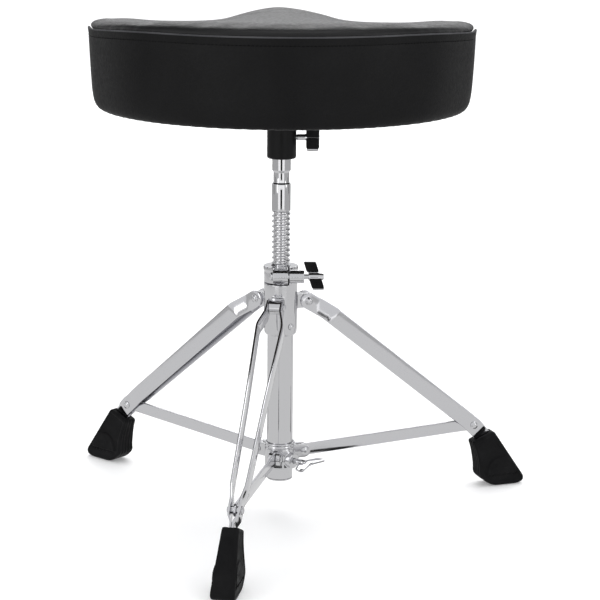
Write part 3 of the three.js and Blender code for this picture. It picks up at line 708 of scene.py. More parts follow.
def seat_side_band():
    """Band round the side, its top edge folded over and its foot drawn under the board."""
    stitch = STITCH_HEIGHT
    outside = rounded([
        (42, SEAT_BOTTOM + 0.2), (17, SEAT_BOTTOM, 6), (8.4, SEAT_BOTTOM + 1.6, 5), (4.2, SEAT_BOTTOM + 8, 6),
        (2.0, SEAT_BOTTOM + 22, 10), (0.2, SEAT_BOTTOM + 55, 20), (-1.2, stitch - 3), (-0.9, stitch, 1.4),
        (-1.5, stitch + 3), (-1.9, SEAT_SEAM - 3, 2), (-2.2, SEAT_SEAM - 0.2, 0.8),
        (-1.2, SEAT_SEAM + 0.9, 0.8), (0.4, SEAT_SEAM + 0.6, 0.6), (0.8, SEAT_SEAM - 2),
    ])
    inside = [
        (0.9, stitch), (2.4, SEAT_BOTTOM + 50), (4.4, SEAT_BOTTOM + 16), (9.8, SEAT_BOTTOM + 4),
        (17, SEAT_BOTTOM + COVER), (42, SEAT_BOTTOM + COVER),
    ]
    section = subdivided([tuple(p) for p in outside] + inside, 7)
    columns = 260 if FINE else 120
    obj = solid("seat_side_band", seat_loft(section, columns, closed=True))
    drawn_vinyl(obj)
    finished(obj, "seat", BAND_VINYL, ["seat_side_cover"], sharp=60)
    # Faces of the folded top edge take the lighter vinyl, a painted highlight along the seam.
    obj.data.materials.append(EDGE_PAINTED_HIGHLIGHT)
    for face in obj.data.polygons:
        place = (COLUMN.inverted() @ face.center) / MM
        if place.z > seam_height(place.x, place.y) - 0.9:
            face.material_index = 1


def drawn_vinyl(obj):
    """Faint vertical draws of a stretched band, and pleats where it turns under."""
    for vertex in obj.data.vertices:
        x, y, z = vertex.co
        angle = math.atan2(y - SEAT_MIDDLE.y, x)
        out = Vector((x, y - SEAT_MIDDLE.y, 0)).normalized()
        height = clamp01((z - SEAT_BOTTOM) / (SEAT_SEAM - SEAT_BOTTOM))
        swell = 0.35 * math.sin(5 * angle + 0.6) + 0.22 * math.sin(13 * angle + 2.0)
        draw = swell * math.sin(math.pi * height)
        pleat = 0.45 * math.sin(75 * angle + 2 * math.sin(5 * angle)) * smoothstep(0.12, 0, height)
        vertex.co += out * draw + Vector((0, 0, 0.4 * pleat))


def band_stitches():
    """Top stitching below the folded edge: one short thread after another."""
    pitch = 4.6
    radius = 0.42
    outline = seat_outline(900)
    perimeter = sum((a - b).length for a, b in zip(outline, outline[1:] + outline[:1]))
    count = int(perimeter / pitch)
    places = evenly_spaced(outline, count)
    shapes = []
    for i, place in enumerate(places):
        along = (places[(i + 1) % count] - places[i - 1]).normalized()
        out = Vector((along.y, -along.x, 0))
        centre = on_saddle(place, -0.9, STITCH_HEIGHT) + out * 0.1
        turn = along.to_track_quat("Z", "X").to_matrix().to_4x4()
        half = pitch * 0.36
        thread = revolve(rounded([(0, -half), (radius, -half, 0.3), (radius, half, 0.3), (0, half)], steps=2),
                         6, around=Matrix.Translation(centre) @ turn)
        shapes.append(thread)
    obj = merged("seat_band_stitches", shapes)
    finished(obj, "seat", STITCHING)


def seat_foam_pad():
    section = rounded([
        (SEAT_RADIUS, BOARD_TOP + 0.3), (7, BOARD_TOP + 0.3, 3), (4.4, 560, 20), (4.6, SEAT_SEAM - 4, 4),
        (9, SEAT_SEAM - 5, 3), (40, SEAT_SEAM - 5.5, 8), (SEAT_RADIUS, SEAT_SEAM - 5.5),
    ])
    obj = solid("seat_foam_pad", seat_loft(subdivided([tuple(p) for p in section], 14), 120))
    finished(obj, "seat", FOAM, ["seat_foam"])


def seat_board_ply():
    section = rounded([
        (SEAT_RADIUS, BOARD_BOTTOM), (13, BOARD_BOTTOM, 1.2), (12, BOARD_BOTTOM + 2, 1.2),
        (12, BOARD_TOP - 1, 1.2), (14, BOARD_TOP, 1.2), (SEAT_RADIUS, BOARD_TOP),
    ])
    obj = solid("seat_plywood_board", seat_loft(subdivided([tuple(p) for p in section], 25), 160))
    finished(obj, "seat", PLYWOOD, ["seat_board"])


def cover_staples():
    """Upholstery staples that hold the drawn-in cover to the underside of the board."""
    count = 86
    outline = seat_outline(count)
    wire = 0.35
    half = 5.0
    shapes = []
    for i, edge in enumerate(outline):
        along = (outline[(i + 1) % count] - outline[i - 1]).normalized()
        centre = on_saddle(edge, 33, SEAT_BOTTOM - wire * 0.4)
        turn = Matrix.Rotation(math.atan2(along.y, along.x) + math.radians(18), 4, "Z")
        crown = block((-half, -wire, -wire), (half, wire, wire), Matrix.Translation(centre) @ turn)
        shapes.append(crown)
    obj = bevelled(merged("seat_cover_staples", shapes), 0.12, 2)
    finished(obj, "seat", ZINC)


def screw_places():
    return [(x, y) for x in (-SCREW_OFFSET, SCREW_OFFSET) for y in (-SCREW_OFFSET, SCREW_OFFSET)]


def seat_bracket():
    """Steel plate with a welded socket for the post, powder coated."""
    underside = PLATE_TOP - PLATE_THICKNESS
    corner = 9
    sides = ((-1, -1), (1, -1), (1, 1), (-1, 1))
    outline = rounded([(s * PLATE_HALF, t * PLATE_HALF, corner) for s, t in sides], closed=True, steps=6)
    flat = plate([(p.x, p.y) for p in outline], PLATE_THICKNESS / 2)
    lie = Matrix.Translation((0, 0, PLATE_TOP - PLATE_THICKNESS / 2)) @ Matrix.Rotation(math.pi / 2, 4, "X")
    bmesh.ops.transform(flat, matrix=lie, verts=flat.verts)
    sheet_steel = bevelled(solid("seat_bracket_plate", flat), 0.9, 3)
    bore = 11.45
    top = PLATE_TOP - 0.8
    tube = rounded([
        (bore, SOCKET_BOTTOM + 1.2), (bore + 1.2, SOCKET_BOTTOM, 1), (SOCKET_RADIUS, SOCKET_BOTTOM, 2.6),
        (SOCKET_RADIUS, underside - 5, 3), (SOCKET_RADIUS + 5, underside + 0.5),
        (SOCKET_RADIUS, top), (bore, top),
    ])
    socket = turned("seat_socket", tube, 96, closed=True)
    combine(sheet_steel, [socket], "UNION")
    holes = [rod(bore, 470, PLATE_TOP + 2, segments=96)]
    holes.append(rod(3.6, 5, 30, Matrix.Translation((0, 0, SEAT_BOLT_HEIGHT)) @ ALONG_X))
    for x, y in screw_places():
        holes.append(rod(2.8, underside - 1, PLATE_TOP + 1, Matrix.Translation((x, y, 0)), 24))
    combine(sheet_steel, holes, "DIFFERENCE")
    sheet_steel.name = "seat_bracket_socket"
    finished(sheet_steel, "seat", PAINT, ["seat_bracket"], sharp=35)


def seat_screws():
    head_top = PLATE_TOP - PLATE_THICKNESS - 0.3
    profile = rounded([
        (0, head_top - 3.1), (2.4, head_top - 3.1, 1), (5, head_top - 1.4, 1.2), (5, head_top, 0.3),
        (2.5, head_top), (2.5, BOARD_BOTTOM + 8.7), (1, BOARD_BOTTOM + 10), (0, BOARD_BOTTOM + 10),
    ])
    for i, (x, y) in enumerate(screw_places()):
        place = Matrix.Translation((x, y, 0))
        obj = turned(f"seat_screw_{i + 1}_head", profile, 32, around=place)
        deep = head_top - 1.6
        bars = []
        for turn in (0, math.pi / 2):
            spin = place @ Matrix.Rotation(turn + math.radians(20 * i), 4, "Z")
            bars.append(solid("drive", block((-2.3, -0.45, head_top - 5), (2.3, 0.45, deep), spin)))
        combine(obj, bars, "DIFFERENCE")
        finished(obj, "seat", ZINC, [f"seat_screw_{i + 1}"], sharp=35)


# ----------------------------------------------------------------- wing pieces
WING_REACH = 16.5


def blade_outline(centre, half_length, skew, low, high, corner):
    return rounded([
        (centre - half_length + skew * low, low, corner),
        (centre + half_length + skew * low, low, corner),
        (centre + half_length + skew * high, high, corner),
        (centre - half_length + skew * high, high, corner),
    ], closed=True)


def wing_blades(centre, length, skew, place):
    """Flat blade each side of the core, with a thick rolled lip at its lower tip."""
    half = length / 2 - 1.2
    outline = blade_outline(centre, half, skew, -WING_REACH, WING_REACH, 1.6)
    blades = solid("blades", plate(outline, 1.2, place))
    lip = 2.1
    tip = lip - WING_REACH
    middle = centre + skew * tip
    roll = place @ Matrix.Translation((middle, 0, tip)) @ ALONG_X
    return combine(blades, [rod(lip, -half - 0.4, half + 0.4, roll, 24)], "UNION")


def wing_grip(name, centre, length, skew, span, half, place, body, node):
    """Rubber pad on one blade, with a small raised arc moulded in each face."""
    low, high = span
    outline = blade_outline(centre, length / 2, skew, low, high, 1.5)
    obj = bevelled(solid(name, plate(outline, half, place)), 0.9, 4)
    hollow = blade_outline(centre, length / 2 - 0.9, skew, -WING_REACH - 0.3, WING_REACH + 0.3, 1)
    combine(obj, [solid("hollow", plate(hollow, 1.45, place))], "DIFFERENCE")
    combine(obj, [rod(5.1, centre - 12, centre + 12, place @ ALONG_X)], "DIFFERENCE")
    middle = (low + high) / 2
    radius, ridge, steps = 2.7, 0.62, 12
    arcs = []
    for face in (-1, 1):
        spine = []
        for i in range(steps + 1):
            angle = math.radians(25 + 130 * i / steps)
            along = centre + skew * middle + radius * math.cos(angle)
            spine.append(Vector((along, face * half, middle - 1.2 + radius * math.sin(angle))))
        arcs.append(tube_along(spine, ridge, place))
    ridges = merged("ridges", arcs)
    combine(obj, [ridges], "UNION")
    finished(obj, body, RUBBER, [node], sharp=40)


def tube_along(spine, radius, around=Matrix.Identity(4), sides=8):
    """A round bar along a plane curve that has one y for all its points."""
    rings = []
    for i, point in enumerate(spine):
        ahead = spine[min(i + 1, len(spine) - 1)] - spine[max(i - 1, 0)]
        side = Vector((0, 1, 0))
        normal = ahead.cross(side).normalized()
        ring = []
        for k in range(sides):
            angle = 2 * math.pi * k / sides
            ring.append(point + side * radius * math.cos(angle) + normal * radius * math.sin(angle))
        rings.append(ring)
    shape = loft(rings, capped=True)
    bmesh.ops.transform(shape, matrix=around, verts=shape.verts)
    return shape


def seat_wing():
    centre, length = 36.8, 15.5
    place = Matrix.Translation((0, 0, SEAT_BOLT_HEIGHT))
    profile = rounded([
        (0, 11.8), (RIVET_RADIUS, 12.5, 0.5), (RIVET_RADIUS, 18), (3.6, 18.5, 0.3), (3.6, centre - 9, 1),
        (4.8, centre - 7, 1.2), (4.8, centre + 6, 1.5), (3.4, centre + 8, 0.8), (0, centre + 8),
    ])
    obj = turned("seat_wing_bolt_chromed", profile, 64, around=place @ ALONG_X)
    combine(obj, [wing_blades(centre, length, 0, place)], "UNION")
    cast(obj, 0.35, 3)
    finished(obj, "seat_wing", CHROME, ["seat_wing_bolt"], sharp=60)
    for label, span in (("upper", (0.15, 16.9)), ("lower", (-12.6, -0.15))):
        wing_grip(f"seat_wing_rubber_{label}", centre, length, 0, span, 6.2, place, "seat_wing",
                  f"seat_wing_grip_{label}")


def clamp_wing():
    centre, length, skew = 40.3, 14.5, -0.33
    place = Matrix.Translation(CLAMP)
    profile = rounded([
        (0, 33), (4.3, 33, 0.6), (4.8, 35, 0.8), (4.8, 45, 1.5), (3.6, 51.5, 1.2), (0, 51.5),
    ])
    obj = turned("clamp_wing_nut_chromed", profile, 64, around=place @ ALONG_X)
    combine(obj, [wing_blades(centre, length, skew, place)], "UNION")
    combine(obj, [rod(RIVET_RADIUS + 0.3, 30, 47.5, place @ ALONG_X, 32)], "DIFFERENCE")
    cast(obj, 0.35, 3)
    finished(obj, "clamp_wing", CHROME, ["clamp_wing_nut"], sharp=60)
    for label, span, half in (("upper", (6.2, 17.8), 3.0), ("lower", (-13.6, -2.4), 5.6)):
        wing_grip(f"clamp_wing_rubber_{label}", centre, length, skew, span, half, place, "clamp_wing",
                  f"clamp_wing_grip_{label}")


# --------------------------------------------------------------------- spindle
def thread_solid():
    """Rolled right-hand thread: a narrow rounded crest on a wide root."""
    columns = 64 if FINE else 32
    per_pitch = 12
    rows = (THREAD_TURNS - 1) * per_pitch
    rings = [[Vector((0, 0, THREAD_BOTTOM - 1))]]
    for row in range(rows + per_pitch + 1):
        ring = []
        for column in range(columns):
            angle = 2 * math.pi * column / columns
            phase = (row / per_pitch - column / columns) % 1.0
            crest = smoothstep(0.30, 0.12, abs(phase - 0.5))
            radius = mix(THREAD_ROOT, THREAD_CREST, crest)
            height = THREAD_BOTTOM + row / per_pitch * THREAD_PITCH
            ring.append(Vector((radius * math.cos(angle), radius * math.sin(angle), height)))
        rings.append(ring)
    rings.append([Vector((0, 0, THREAD_TOP + 1))])
    return loft(rings)


def spindle():
    upper = rounded([
        (0, THREAD_TOP - 4), (THREAD_ROOT - 0.1, THREAD_TOP - 4), (THREAD_ROOT, THREAD_TOP - 1),
        (POST_RADIUS, THREAD_TOP + 0.6, 0.5), (POST_RADIUS + 0.1, NECK[0] - 1, 0.6),
        (NECK_RADIUS + 0.6, NECK[0], 0.4), (NECK_RADIUS, NECK[0] + 0.6, 0.4),
        (NECK_RADIUS, NECK[1] - 1.8, 0.8), (POST_RADIUS, NECK[1], 0.8),
        (POST_RADIUS, POST_TOP - 1.5, 0.8), (POST_RADIUS - 1.5, POST_TOP, 0.8), (0, POST_TOP),
    ])
    lower = rounded([
        (0, SPINDLE_END), (9.5, SPINDLE_END, 0.8), (10, SPINDLE_END + 3, 0.8), (10, SPINDLE_END + 6, 0.5),
        (8, SPINDLE_END + 6.3), (8, THREAD_BOTTOM - 0.6), (THREAD_ROOT - 0.1, THREAD_BOTTOM + 1),
        (THREAD_ROOT - 0.1, THREAD_BOTTOM + 4), (0, THREAD_BOTTOM + 4),
    ])
    obj = solid("spindle_threaded", thread_solid())
    ends = [turned("upper", upper, 96), turned("lower", lower, 96)]
    combine(obj, ends, "UNION")
    finished(obj, "spindle", CHROME, ["spindle"], sharp=40)


def guide_ring():
    bottom = SPINDLE_END + 6.6
    top = THREAD_BOTTOM - 1.5
    outer = TUBE_INSIDE - 0.3
    profile = rounded([
        (8.35, bottom, 0.5), (outer, bottom, 0.8), (outer, top, 0.8), (8.35, top, 0.5),
    ], closed=True)
    obj = turned("spindle_guide_moulded", profile, 64, closed=True)
    finished(obj, "guide", NYLON, ["spindle_guide_ring"])


# ------------------------------------------------------------------------ base
def centre_tube():
    profile = rounded([
        (TUBE_INSIDE, TUBE_BOTTOM, 0.3), (TUBE_RADIUS, TUBE_BOTTOM, 0.5), (TUBE_RADIUS, TUBE_TOP, 0.5),
        (TUBE_INSIDE, TUBE_TOP, 0.3),
    ], closed=True)
    obj = turned("centre_tube_chromed", profile, 128, closed=True)
    finished(obj, "base", CHROME, ["centre_tube"])


def hub_rivet_holes():
    height = Matrix.Translation((0, 0, HUB_RIVET_HEIGHT))
    return [rod(2.9, 5, 30, height @ rivet_turn(i) @ ALONG_X, 32) for i in range(len(LEGS))]


def tongue(start, pivot, radius, half, around):
    """Flat lug with a round end about its pivot."""
    outline = [(start, pivot.z - radius)]
    for step in range(33):
        angle = math.radians(-90 + 180 * step / 32)
        outline.append((pivot.x + radius * math.cos(angle), pivot.z + radius * math.sin(angle)))
    outline.append((start, pivot.z + radius))
    return plate(outline, half, around)


def hub_casting():
    """Die-cast hub: barrel, three lugs, and a split clamp with its two barrels."""
    shell = turned("hub_casting", [
        (0, HUB_BOTTOM), (HUB_RADIUS - 2.5, HUB_BOTTOM), (HUB_RADIUS - 0.7, HUB_BOTTOM + 2),
        (HUB_RADIUS, HUB_BOTTOM + 8), (HUB_RADIUS, HUB_TOP - 6), (HUB_RADIUS + 0.9, HUB_TOP - 4.5),
        (HUB_RADIUS + 0.9, HUB_TOP - 0.6), (HUB_RADIUS, HUB_TOP), (0, HUB_TOP),
    ], 128)
    additions = []
    for i in range(len(LEGS)):
        additions.append(solid("lug", tongue(HUB_BORE + 6, LUG_PIVOT, LUG_END, LUG_HALF, leg_turn(i))))
    clamp = Matrix.Translation(CLAMP) @ ALONG_X
    additions.append(rod(8, SLIT_X, 28, clamp, 64))
    additions.append(rod(9.5, -9.5, SLIT_X, clamp, 64))
    combine(shell, additions, "UNION")
    cuts = [
        rod(TUBE_RADIUS + 0.3, HUB_BOTTOM - 1, TUBE_TOP + 0.3, segments=96),
        rod(HUB_BORE, HUB_BOTTOM, HUB_TOP + 1, segments=96),
        solid("slit", block(
            (-25, CLAMP.y - 12, SLIT_Z - SLIT / 2), (SLIT_X + SLIT / 2, 0, SLIT_Z + SLIT / 2))),
        solid("slit", block(
            (SLIT_X - SLIT / 2, CLAMP.y - 12, SLIT_Z), (SLIT_X + SLIT / 2, -6, HUB_TOP + 1))),
        rod(RIVET_RADIUS + 0.4, -30, 40, clamp, 32),
        rod(5.7, -25, -9.5, clamp, 48),
    ]
    combine(shell, cuts + hub_rivet_holes(), "DIFFERENCE")
    cast(shell, 0.5, 4)
    finished(shell, "base", CAST_CHROME, ["hub"], sharp=70)


def thread_nut():
    outside = TUBE_INSIDE - 0.3
    bottom = HUB_BOTTOM + 2
    top = HUB_BOTTOM + 36
    grooves = []
    steps = int((top - bottom) / THREAD_PITCH)
    for i in range(steps):
        middle = bottom + (i + 0.5) * THREAD_PITCH
        grooves += [(HUB_BORE, middle - 1.2), (HUB_BORE + 0.7, middle - 0.5), (HUB_BORE + 0.7, middle + 0.5),
                    (HUB_BORE, middle + 1.2)]
    profile = [(HUB_BORE, bottom), (outside, bottom), (outside, top), (HUB_BORE, top)] + grooves[::-1]
    obj = turned("thread_nut_turned", profile, 72, closed=True)
    combine(obj, hub_rivet_holes(), "DIFFERENCE")
    finished(obj, "base", ZINC, ["thread_nut"], sharp=30)


def domed_head(start, radius, height):
    """Profile of a rivet's head: a low flank, then a chamfer, then a round dome."""
    return [
        (radius, start, 0.15), (radius, start + 0.25 * height, 0.2),
        (0.82 * radius, start + 0.42 * height, 0.15), (0.5 * radius, start + 0.94 * height, 1.0),
        (0, start + height),
    ]


def hub_rivets():
    seat = HUB_RADIUS + 0.1
    profile = rounded([(0, 12.1), (2.5, 12.1, 0.4), (2.5, seat)] + domed_head(seat, 4.0, 2.3))
    for i in range(len(LEGS)):
        place = Matrix.Translation((0, 0, HUB_RIVET_HEIGHT)) @ rivet_turn(i) @ ALONG_X
        obj = turned(f"hub_rivet_{i + 1}_domed", profile, 40, around=place)
        finished(obj, "base", CHROME, [f"hub_rivet_{i + 1}"])


def tube_end_cap():
    inside = TUBE_INSIDE - 0.3
    top = TUBE_BOTTOM - 0.3
    profile = rounded([
        (0, top - 2.6), (inside - 1, top - 2.6, 2), (TUBE_RADIUS, top - 1.4, 1), (TUBE_RADIUS, top, 0.3),
        (inside, top), (inside, top + 8, 0.5), (inside - 1.5, top + 9, 0.5), (0, top + 9),
    ])
    obj = turned("tube_end_plug", profile, 96)
    finished(obj, "base", CHROME, ["tube_end_cap"])


def clamp_bolt():
    profile = rounded([
        (0, -13.2), (3.4, -13.2, 1), (5.2, -11.6, 0.8), (5.2, -9.8, 0.2), (RIVET_RADIUS, -9.8),
        (RIVET_RADIUS, 46.5, 0.4), (2.2, 47.2, 0.3), (0, 47.2),
    ])
    obj = turned("clamp_bolt_domed", profile, 48, around=Matrix.Translation(CLAMP) @ ALONG_X)
    finished(obj, "base", CHROME, ["clamp_bolt"])


# ---------------------------------------------------------------------- collar
def collar_ring():
    """Sliding collar with a rolled double rim, three forked ears and a screw boss."""
    ring = turned("collar_casting", [
        (0, COLLAR_BOTTOM), (COLLAR_RADIUS - 1, COLLAR_BOTTOM), (COLLAR_RADIUS, COLLAR_BOTTOM + 1.5),
        (COLLAR_RADIUS, COLLAR_TOP - 8), (COLLAR_RADIUS - 1.2, COLLAR_TOP - 6.6),
        (COLLAR_RADIUS + 0.2, COLLAR_TOP - 4.9), (COLLAR_RADIUS - 0.9, COLLAR_TOP - 3.2),
        (COLLAR_RADIUS + 0.6, COLLAR_TOP - 1.4), (COLLAR_RADIUS - 0.2, COLLAR_TOP),
        (0, COLLAR_TOP),
    ], 128)
    additions = []
    slots = []
    low = EAR_PIVOT.z - EAR_END
    high = EAR_PIVOT.z + EAR_END
    for i in range(len(LEGS)):
        turn = leg_turn(i)
        additions.append(solid("ear", tongue(COLLAR_BORE + 0.5, EAR_PIVOT, EAR_END, EAR_HALF, turn)))
        pin = turn @ Matrix.Translation(EAR_PIVOT) @ ALONG_Y
        inner = (COLLAR_RADIUS + 2.6, -EAR_SLOT, low - 2)
        outer = (EAR_PIVOT.x + EAR_END + 2, EAR_SLOT, high + 2)
        slots.append(solid("slot", block(inner, outer, turn)))
        slots.append(rod(RIVET_RADIUS + 0.3, -EAR_HALF - 1, EAR_HALF + 1, pin, 32))
    boss = Matrix.Translation((0, 0, BOSS_HEIGHT)) @ Matrix.Rotation(BOSS_AZIMUTH, 4, "Z") @ ALONG_X
    additions.append(turned("boss", 
        [(0, COLLAR_BORE), (9.5, COLLAR_BORE), (9.5, 23.2), (8.7, 24), (0, 24)], 64, around=boss))
    combine(ring, additions, "UNION")
    slots.append(rod(RIVET_RADIUS + 0.4, 5, 26, boss, 32))
    slots.append(rod(COLLAR_BORE, COLLAR_BOTTOM - 1, COLLAR_TOP + 1, segments=128))
    combine(ring, slots, "DIFFERENCE")
    cast(ring, 0.42, 3)
    finished(ring, "collar", CAST_CHROME, ["collar"], sharp=70)


def double_headed(half):
    mirrored = [Vector((radius, -place)) for radius, place in reversed(half)]
    return mirrored + list(half)[1:]


def collar_rivets():
    face = EAR_HALF + 0.3
    profile = double_headed(rounded([(RIVET_RADIUS, 0), (RIVET_RADIUS, face)] + domed_head(face, 4.6, 2.1)))
    for i, leg in enumerate(LEGS):
        place = leg_turn(i) @ Matrix.Translation(EAR_PIVOT) @ ALONG_Y
        obj = turned(f"collar_rivet_{leg}_domed", profile, 36, around=place)
        finished(obj, "collar", CHROME, [f"collar_rivet_{leg}"])


def collar_wing():
    """Screw with a stamped wing, its two blades flared and folded slightly back."""
    tip = TUBE_RADIUS + 0.3
    place = Matrix.Translation((0, 0, BOSS_HEIGHT)) @ Matrix.Rotation(BOSS_AZIMUTH, 4, "Z")
    place = place @ Matrix.Rotation(math.radians(8), 4, "X")
    shank = rounded([
        (0, tip), (RIVET_RADIUS, tip + 0.6, 0.3), (RIVET_RADIUS, 29), (4.6, 30, 0.6),
        (4.6, 38, 1.5), (3.2, 42, 1), (0, 42),
    ])
    obj = turned("collar_wing_stamped", shank, 48, around=ALONG_X)
    right = [(33, 3, 1), (37, 8, 2), (43, 21, 2.5), (52, 23.5, 2), (55, 21, 1.5), (50, 6, 4), (49, 0, 3)]
    left = [(x, -z, *corner) for x, z, *corner in reversed(right[:-1])]
    wing = bevelled(solid("wing", plate(rounded(right + left, closed=True), 1.35)), 0.55, 3)
    for vertex in wing.data.vertices:
        x, y, z = vertex.co
        fold = 0.075 * max(0.0, abs(z) - 6) * (1 if z > 0 else -1)
        vertex.co = Vector((x, y + fold, z))
    wing.data.transform(Matrix.Rotation(-math.pi / 2, 4, "X"))
    combine(obj, [wing], "UNION")
    obj.data.transform(place)
    finished(obj, "collar_wing", CHROME, ["collar_wing_bolt"], sharp=40)


# ------------------------------------------------------------------------ legs
THIGH = (KNEE - LUG_PIVOT).length
ANKLE_DISTANCE = THIGH + (ANKLE - KNEE).length


def strap_line(distance):
    """Sharp middle line of a strap, in the leg's plane, from the hub pivot."""
    if distance <= THIGH:
        return LUG_PIVOT + (KNEE - LUG_PIVOT).normalized() * distance
    if distance <= ANKLE_DISTANCE:
        return KNEE + (ANKLE - KNEE).normalized() * (distance - THIGH)
    past = distance - ANKLE_DISTANCE
    return ANKLE + Vector((math.cos(FOOT_SLOPE), 0, math.sin(FOOT_SLOPE))) * past


def strap_spread(distance):
    """Distance of the strap's inner face from the leg's middle plane."""
    hub_face = LUG_HALF + 0.3
    stops = [
        (-20, hub_face), (14, hub_face), (37, 13.8), (147, 9.8), (262, 7.3),
        (ANKLE_DISTANCE - 11, 4.4), (ANKLE_DISTANCE + 9, 4.4), (ANKLE_DISTANCE + 17.5, 0.15), (500, 0.15),
    ]
    for (start, low), (end, high) in zip(stops, stops[1:]):
        if distance <= end:
            return mix(low, high, clamp01((distance - start) / (end - start)))
    return stops[-1][1]


def strap_station(distance):
    """Middle point, upward normal and spread, with each bend eased by its press radius."""
    reach = 2.5
    samples = [distance + reach * k / 3 for k in range(-3, 4)]
    middle = sum((strap_line(s) for s in samples), Vector()) / len(samples)
    spread = sum(strap_spread(s) for s in samples) / len(samples)
    ahead = strap_line(distance + reach) - strap_line(distance - reach)
    normal = Vector((-ahead.z, 0, ahead.x)).normalized()
    return middle, normal, spread


def strap_distances():
    end = ANKLE_DISTANCE + STRAP_TAIL
    tip = [-STRAP_HALF * math.cos(math.radians(angle)) for angle in range(8, 90, 9)]
    body = []
    place = 0.0
    while place < end:
        body.append(place)
        bending = place < 66 or place > ANKLE_DISTANCE - 20
        place += 1.5 if bending else 7.0
    return tip + body + [end]


def strap_half(distance):
    if distance < 0:
        return math.sqrt(max(0.4, STRAP_HALF ** 2 - distance ** 2))
    past = distance - (ANKLE_DISTANCE + STRAP_TAIL - 6)
    return STRAP_HALF - 0.35 * max(0.0, past)


def leg_strap(leg, i, label, side):
    """Flat steel strip with rounded edges, swept along the leg's bends."""
    edge = 0.7
    rings = []
    for distance in strap_distances():
        middle, normal, spread = strap_station(distance)
        half = strap_half(distance)
        soft = min(edge, half * 0.4)
        corners = rounded([
            (-half, spread, soft), (half, spread, soft), (half, spread + STRAP_THICKNESS, soft),
            (-half, spread + STRAP_THICKNESS, soft)], closed=True, steps=2)
        rings.append([middle + normal * u + Vector((0, v * side, 0)) for u, v in corners])
    obj = solid(f"leg_{leg}_strap_{label}_plated", loft(rings, capped=True))
    obj.data.transform(leg_turn(i))
    finished(obj, f"leg_{leg}", STRAP_CHROME, [f"leg_{leg}_strap_{label}"], sharp=50)


def hub_stub(leg, i, label, side):
    inner = LUG_HALF + 0.3
    outer = inner + STRAP_THICKNESS + 0.1
    outline = [(0, inner), (RIVET_RADIUS, inner), (RIVET_RADIUS, outer)] + domed_head(outer, 5, 2.8)
    profile = [(radius, place * side) for radius, place in rounded(outline)]
    around = leg_turn(i) @ Matrix.Translation(LUG_PIVOT) @ ALONG_Y
    obj = turned(f"leg_{leg}_hub_rivet_{label}_domed", profile, 40, around=around)
    finished(obj, f"leg_{leg}", CHROME, [f"leg_{leg}_hub_rivet_{label}"])


def ankle_rivet(leg, i):
    brace_face = BRACE_THICKNESS / 2 + 0.3
    strap_face = 4.4 + STRAP_THICKNESS + 0.1
    half = rounded([
        (RIVET_RADIUS, 0), (RIVET_RADIUS, brace_face), (4.8, brace_face, 0.2), (4.8, 4.1, 0.2),
        (RIVET_RADIUS, 4.1), (RIVET_RADIUS, strap_face),
    ] + domed_head(strap_face, 5, 2.8))
    around = leg_turn(i) @ Matrix.Translation(ANKLE) @ ALONG_Y
    obj = turned(f"leg_{leg}_brace_rivet_domed", double_headed(half), 40, around=around)
    finished(obj, f"leg_{leg}", CHROME, [f"leg_{leg}_brace_rivet"])


def brace(leg, i):
    along = ANKLE - EAR_PIVOT
    length = along.length
    outline = []
    for centre, start in ((length, -90), (0, 90)):
        for step in range(17):
            angle = math.radians(start + 180 * step / 16)
            outline.append((centre + BRACE_HALF * math.cos(angle), BRACE_HALF * math.sin(angle)))
    slope = math.atan2(along.z, along.x)
    around = leg_turn(i) @ Matrix.Translation(EAR_PIVOT) @ Matrix.Rotation(-slope, 4, "Y")
    obj = bevelled(solid(f"brace_{leg}_plated", plate(outline, BRACE_THICKNESS / 2, around)), 0.7, 3)
    pins = [Matrix.Translation(EAR_PIVOT) @ ALONG_Y, Matrix.Translation(ANKLE) @ ALONG_Y]
    holes = [rod(RIVET_RADIUS + 0.2, -5, 5, leg_turn(i) @ pin, 32) for pin in pins]
    combine(obj, holes, "DIFFERENCE")
    finished(obj, f"brace_{leg}", STRAP_CHROME, [f"brace_{leg}"], sharp=40)


# ------------------------------------------------------------------------ feet
def curve_to(points, control, end, steps=8):
    start = Vector(points[-1])
    for k in range(1, steps + 1):
        t = k / steps
        point = start * (1 - t) ** 2 + Vector(control) * 2 * t * (1 - t) + Vector(end) * t ** 2
        points.append((point.x, point.y))


def foot_outline():
    """Side view of the boot: flat sole, sloping heel, straight outer edge."""
    points = [(258, 59)]
    curve_to(points, (267.5, 36), (268, 21))
    curve_to(points, (267.5, 14), (271, 11))
    curve_to(points, (281, 0), (293, 0))
    points.append((317, 0))
    curve_to(points, (333, 1), (328, 11.5))
    points.append((288.5, 70))
    points.append((285, 71))
    return points


def edge_distance(outline, x, z):
    """Distance of a point in the leg's plane from the boot's outline."""
    nearest = 1e9
    for (x0, z0), (x1, z1) in zip(outline, outline[1:] + outline[:1]):
        dx, dz = x1 - x0, z1 - z0
        t = clamp01(((x - x0) * dx + (z - z0) * dz) / (dx * dx + dz * dz))
        nearest = min(nearest, math.hypot(x - x0 - t * dx, z - z0 - t * dz))
    return nearest


def boot_relief(outline, place, normal):
    """Outward move of a point of the boot: rim, side panel, toe pad, groove, heel ribs."""
    x, y, z = place
    side = smoothstep(0.55, 0.9, abs(normal.y))
    heel = smoothstep(0.55, 0.85, -normal.x)
    move = 0.0
    if side > 0:
        inside = edge_distance(outline, x, z)
        recess = -1.0 * smoothstep(3.4, 5.2, inside)
        across = math.hypot((x - 297) / 21, (z - 16) / 22)
        pad = 2.4 * smoothstep(1.03, 0.9, across) * smoothstep(14.6, 16.4, z)
        groove = -1.1 * math.exp(-((z - 12.6) / 1.6) ** 2) * smoothstep(2.5, 4.5, inside)
        move += side * (recess + pad + groove)
    if heel > 0:
        move += heel * 0.5 * math.cos(2 * math.pi * y / 5.2)
    return move


